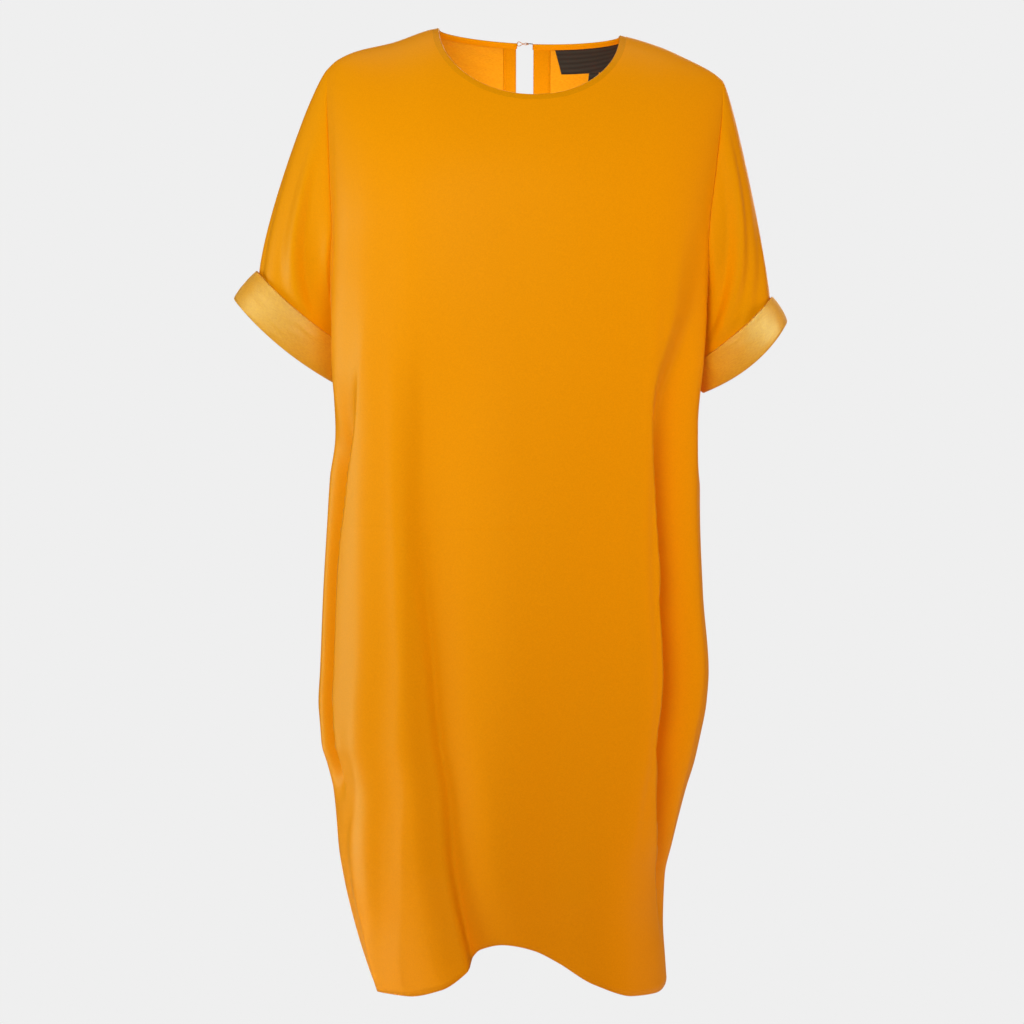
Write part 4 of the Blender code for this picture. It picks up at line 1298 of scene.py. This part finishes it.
def stitched(name, path, slant, finish):
    """A row of sewing stitches along a path, each a small rounded bead of thread."""
    far = np.concatenate([[0], np.cumsum(np.linalg.norm(np.diff(path, axis=0), axis=1))])

    def read(values, at):
        return np.array([np.interp(at, far, column) for column in values.T])

    starts = np.arange(STITCH_START, far[-1] - STITCH, STITCH + STITCH_GAP)
    bead = grid_faces(len(SWELL), STITCH_SIDES, closed=True)[:, ::-1]
    corners, faces = [], []
    for start in starts:
        first = len(corners)
        for share, swell in SWELL:
            at = start + share * STITCH
            spot, up = read(path, at), read(slant, at)
            side = unit(np.cross(up, read(path, at + AHEAD) - spot))
            for angle in np.linspace(0, 2 * math.pi, STITCH_SIDES, endpoint=False):
                way = side * math.cos(angle) * STITCH_FLAT + unit(up) * math.sin(angle)
                corners.append(spot + way * STITCH_THREAD * swell)
        faces += (bead + first).tolist()
        faces.append([first + side for side in reversed(range(STITCH_SIDES))])
        faces.append([len(corners) - STITCH_SIDES + side for side in range(STITCH_SIDES)])
    print(f"{name}: {len(starts)} stitches")
    return smooth_object(name, corners, faces, (finish,))


for name, (points, slant) in facing_seams.items():
    path = points - slant * (FACING_WALL / 2 + STITCH_LIFT)
    row_of_stitches = stitched(f"facing_{name}_stitches", path, -slant, THREAD)
    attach(row_of_stitches, "root")

# %% [markdown]
# ## Which solid each piece stands for
#
# Every piece rides on the one body and stands for the solid of its own name, which is
# hidden. A table gives the size that each sheet was cut to: the widest width and the
# longest length that it has when smoothed flat, the share of that rectangle left once
# neck, armholes and curved edges are cut away, how it is held and what it hangs from.

# %% Ride, replace and a table of cuts
for node, piece in pieces.items():
    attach(piece, "root")
    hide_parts(node)

Cut = namedtuple("Cut", "node width length share held hangs_from")
CUTS = (
    Cut("front", 0.58, 0.98, 0.77, "hung", ("back_left_cloth", "back_right_cloth")),
    Cut("back_left", 0.26, 0.94, 0.86, "hung", ("front_cloth",)),
    Cut("back_right", 0.26, 0.94, 0.86, "hung", ("front_cloth",)),
    Cut("sleeve_left", 0.52, 0.15, 0.55, "hung", ("front_cloth",)),
    Cut("sleeve_right", 0.54, 0.15, 0.55, "hung", ("front_cloth",)),
    Cut("cuff_left", 0.27, 0.046, 1.0, "folded", ("sleeve_left_cloth",)),
    Cut("cuff_right", 0.34, 0.046, 1.0, "folded", ("sleeve_right_cloth",)),
    Cut("neck_binding", 0.50, 0.0105, 1.0, "folded", ("front_cloth",)),
    Cut("slit_facing_left", 0.0165, 0.158, 1.0, "laid", ("back_left_cloth",)),
    Cut("slit_facing_right", 0.0125, 0.158, 1.0, "laid", ("back_right_cloth",)),
    Cut("neck_label", 0.078, 0.025, 1.0, "hung", ("neck_binding_cloth",)),
    Cut("size_tab", 0.011, 0.011, 1.0, "hung", ("neck_label_ribbon",)),
)
for cut in CUTS:
    piece = pieces[cut.node]

# %% [markdown]
# ## Floor, light and camera
#
# A plain pale room: the lens sees one even tone behind and below, while the cloth is
# lit by softboxes and by a dim warm room. So the tone can be set without changing the
# light on the dress.

# %% Room and floor
BACKDROP = "#EFEFEF"
FLOOR_LEVEL, FLOOR_RADIUS = -1.6, 6


def plain_to_the_lens(tree, lit, kind, output):
    """Show the lens one plain tone, and all other rays the lit surface."""
    tone = add_node(tree, kind, Color=(*linear(BACKDROP), 1), Strength=1.0).outputs[0]
    to_lens = add_node(tree, "LightPath").outputs["Is Camera Ray"]
    mixed = add_node(tree, "MixShader")
    for socket, source in enumerate((to_lens, lit, tone)):
        tree.links.new(source, mixed.inputs[socket])
    tree.links.new(mixed.outputs[0], tree.nodes[output].inputs["Surface"])


world = bpy.data.worlds.new("studio")
bpy.context.scene.world = world
world.cycles_visibility.glossy = False
world.use_nodes = True
room = world.node_tree.nodes["Background"]
set_inputs(room, Color=(*linear("#FFD6C4"), 1), Strength=0.17)
plain_to_the_lens(world.node_tree, room.outputs[0], "Background", "World Output")

bpy.ops.mesh.primitive_circle_add(
    vertices=96, radius=FLOOR_RADIUS, fill_type="NGON", location=(0, 0, FLOOR_LEVEL)
)
floor = bpy.context.object
floor.name = "studio_floor"
paper, tree, shader = new_material("paper_white")
set_inputs(shader, Base_Color=(*linear("#E6E6E4"), 1), Roughness=0.9)
plain_to_the_lens(tree, shader.outputs[0], "Emission", "Material Output")
floor.data.materials.append(paper)

# %% [markdown]
# The key stands far to the wearer's right, level with the skirt, and grazes the cloth,
# which models the folds. A weak strip on the same side picks out the hem. A fill
# answers the key from the other side, one box behind and one above light the edges and
# the shoulders, and two in front lift the chest. A warm box low in front turns the
# skirt towards orange and lights the front alone. The two glows are what the satin
# cuffs mirror, so they give gloss but no diffuse light, and light the cuffs alone. A
# small card stands inside the neck, where the open cloth would otherwise be dark. Boxes
# that would lay a white haze on matte crepe give it no gloss.

# %% Softboxes
Lamp = namedtuple("Lamp", "name place aim size watts tint spread gloss")
LAMPS = (
    Lamp("key_left", (-2.5, -0.2, -0.6), (0, 0, -0.8), (1.0, 1.2), 27, "#DCF6EC", 180, True),
    Lamp("low_left", (-1.3, 0, -0.92), (-0.15, 0, -0.93), (0.5, 0.08), 0.15, "#FFF6EC", 30, True),
    Lamp("behind", (0.6, 2.8, 0.5), (0, 0, -0.5), (2.0, 1.6), 28, "#FFF6EC", 180, True),
    Lamp("above", (0, 0.5, 1.4), (0, 0, 0), (2.0, 0.8), 12, "#E8F6EC", 180, False),
    Lamp("warm_low", (0, -2.6, -1.4), (0, 0, -0.85), (1.2, 0.5), 0.85, "#FF4A00", 60, False),
    Lamp("fill_right", (2.5, 0, -0.6), (0, 0, -0.6), (1.0, 1.5), 20, "#FFF6EC", 180, False),
    Lamp("front_left", (-0.8, -2.8, 0.35), (0, 0, -0.1), (1.2, 0.8), 5.05, "#ECFFF2", 55, False),
    Lamp("front_right", (1.0, -2.8, 0.35), (0, 0, -0.1), (1.2, 0.8), 2.3, "#ECFFF2", 55, False),
    Lamp("neck_card", (0, -0.03, -0.14), (0, 0.09, -0.03), (0.12, 0.03), 0.15, "#FFFAF2", 180, False),
    Lamp("glow_left", (-2.2, -2.0, 0.8), (0, 0, -0.3), (3.0, 1.2), 110, "#FFFFFF", 180, True),
    Lamp("glow_right", (2.2, -2.0, 0.8), (0, 0, -0.3), (3.0, 1.2), 178, "#FFFFFF", 180, True),
)


def softbox(row):
    """A soft area light at a place, turned to face a point."""
    light = bpy.data.lights.new(row.name, "AREA")
    light.shape = "RECTANGLE"
    light.size, light.size_y = row.size
    light.energy = row.watts
    light.color = linear(row.tint)
    light.spread = math.radians(row.spread)
    made = bpy.data.objects.new(row.name, light)
    bpy.context.scene.collection.objects.link(made)
    made.location = row.place
    way = Vector(row.aim) - Vector(row.place)
    made.rotation_euler = way.to_track_quat("-Z", "Y").to_euler()
    made.visible_glossy = row.gloss
    return made


def shine_only_on(label, names, nodes):
    """Let some lamps light only some pieces."""
    lit = bpy.data.collections.new(label)
    for node in nodes:
        lit.objects.link(pieces[node])
    for name in names:
        lamps[name].light_linking.receiver_collection = lit


lamps = {row.name: softbox(row) for row in LAMPS}
lamps["neck_card"].visible_camera = False
for name in ("glow_left", "glow_right"):
    lamps[name].visible_diffuse = False
shine_only_on("body_panels", ("warm_low",), ("front",))
shine_only_on("satin_seen_from_outside", ("glow_left", "glow_right"), ("cuff_right", "cuff_left"))

# %% [markdown]
# The lens stands square to the front at the height of the hips, far enough off that
# the dress isn't distorted. It is placed a little to one side, as the dress hangs.

# %% Camera
EYE_SIDE, EYE_DISTANCE, EYE_HEIGHT = -0.0125, 3.2, -0.463
SENSOR, VIEW_WIDTH = 36, 0.988
camera = bpy.data.objects.new("camera", bpy.data.cameras.new("camera"))
bpy.context.scene.collection.objects.link(camera)
camera.location = (EYE_SIDE, -EYE_DISTANCE, EYE_HEIGHT)
camera.rotation_euler = (math.pi / 2, 0, 0)
camera.data.sensor_width = SENSOR
camera.data.lens = SENSOR * EYE_DISTANCE / VIEW_WIDTH
bpy.context.scene.camera = camera
bpy.context.scene.view_settings.view_transform = "Standard"
bpy.context.scene.view_settings.look = "None"
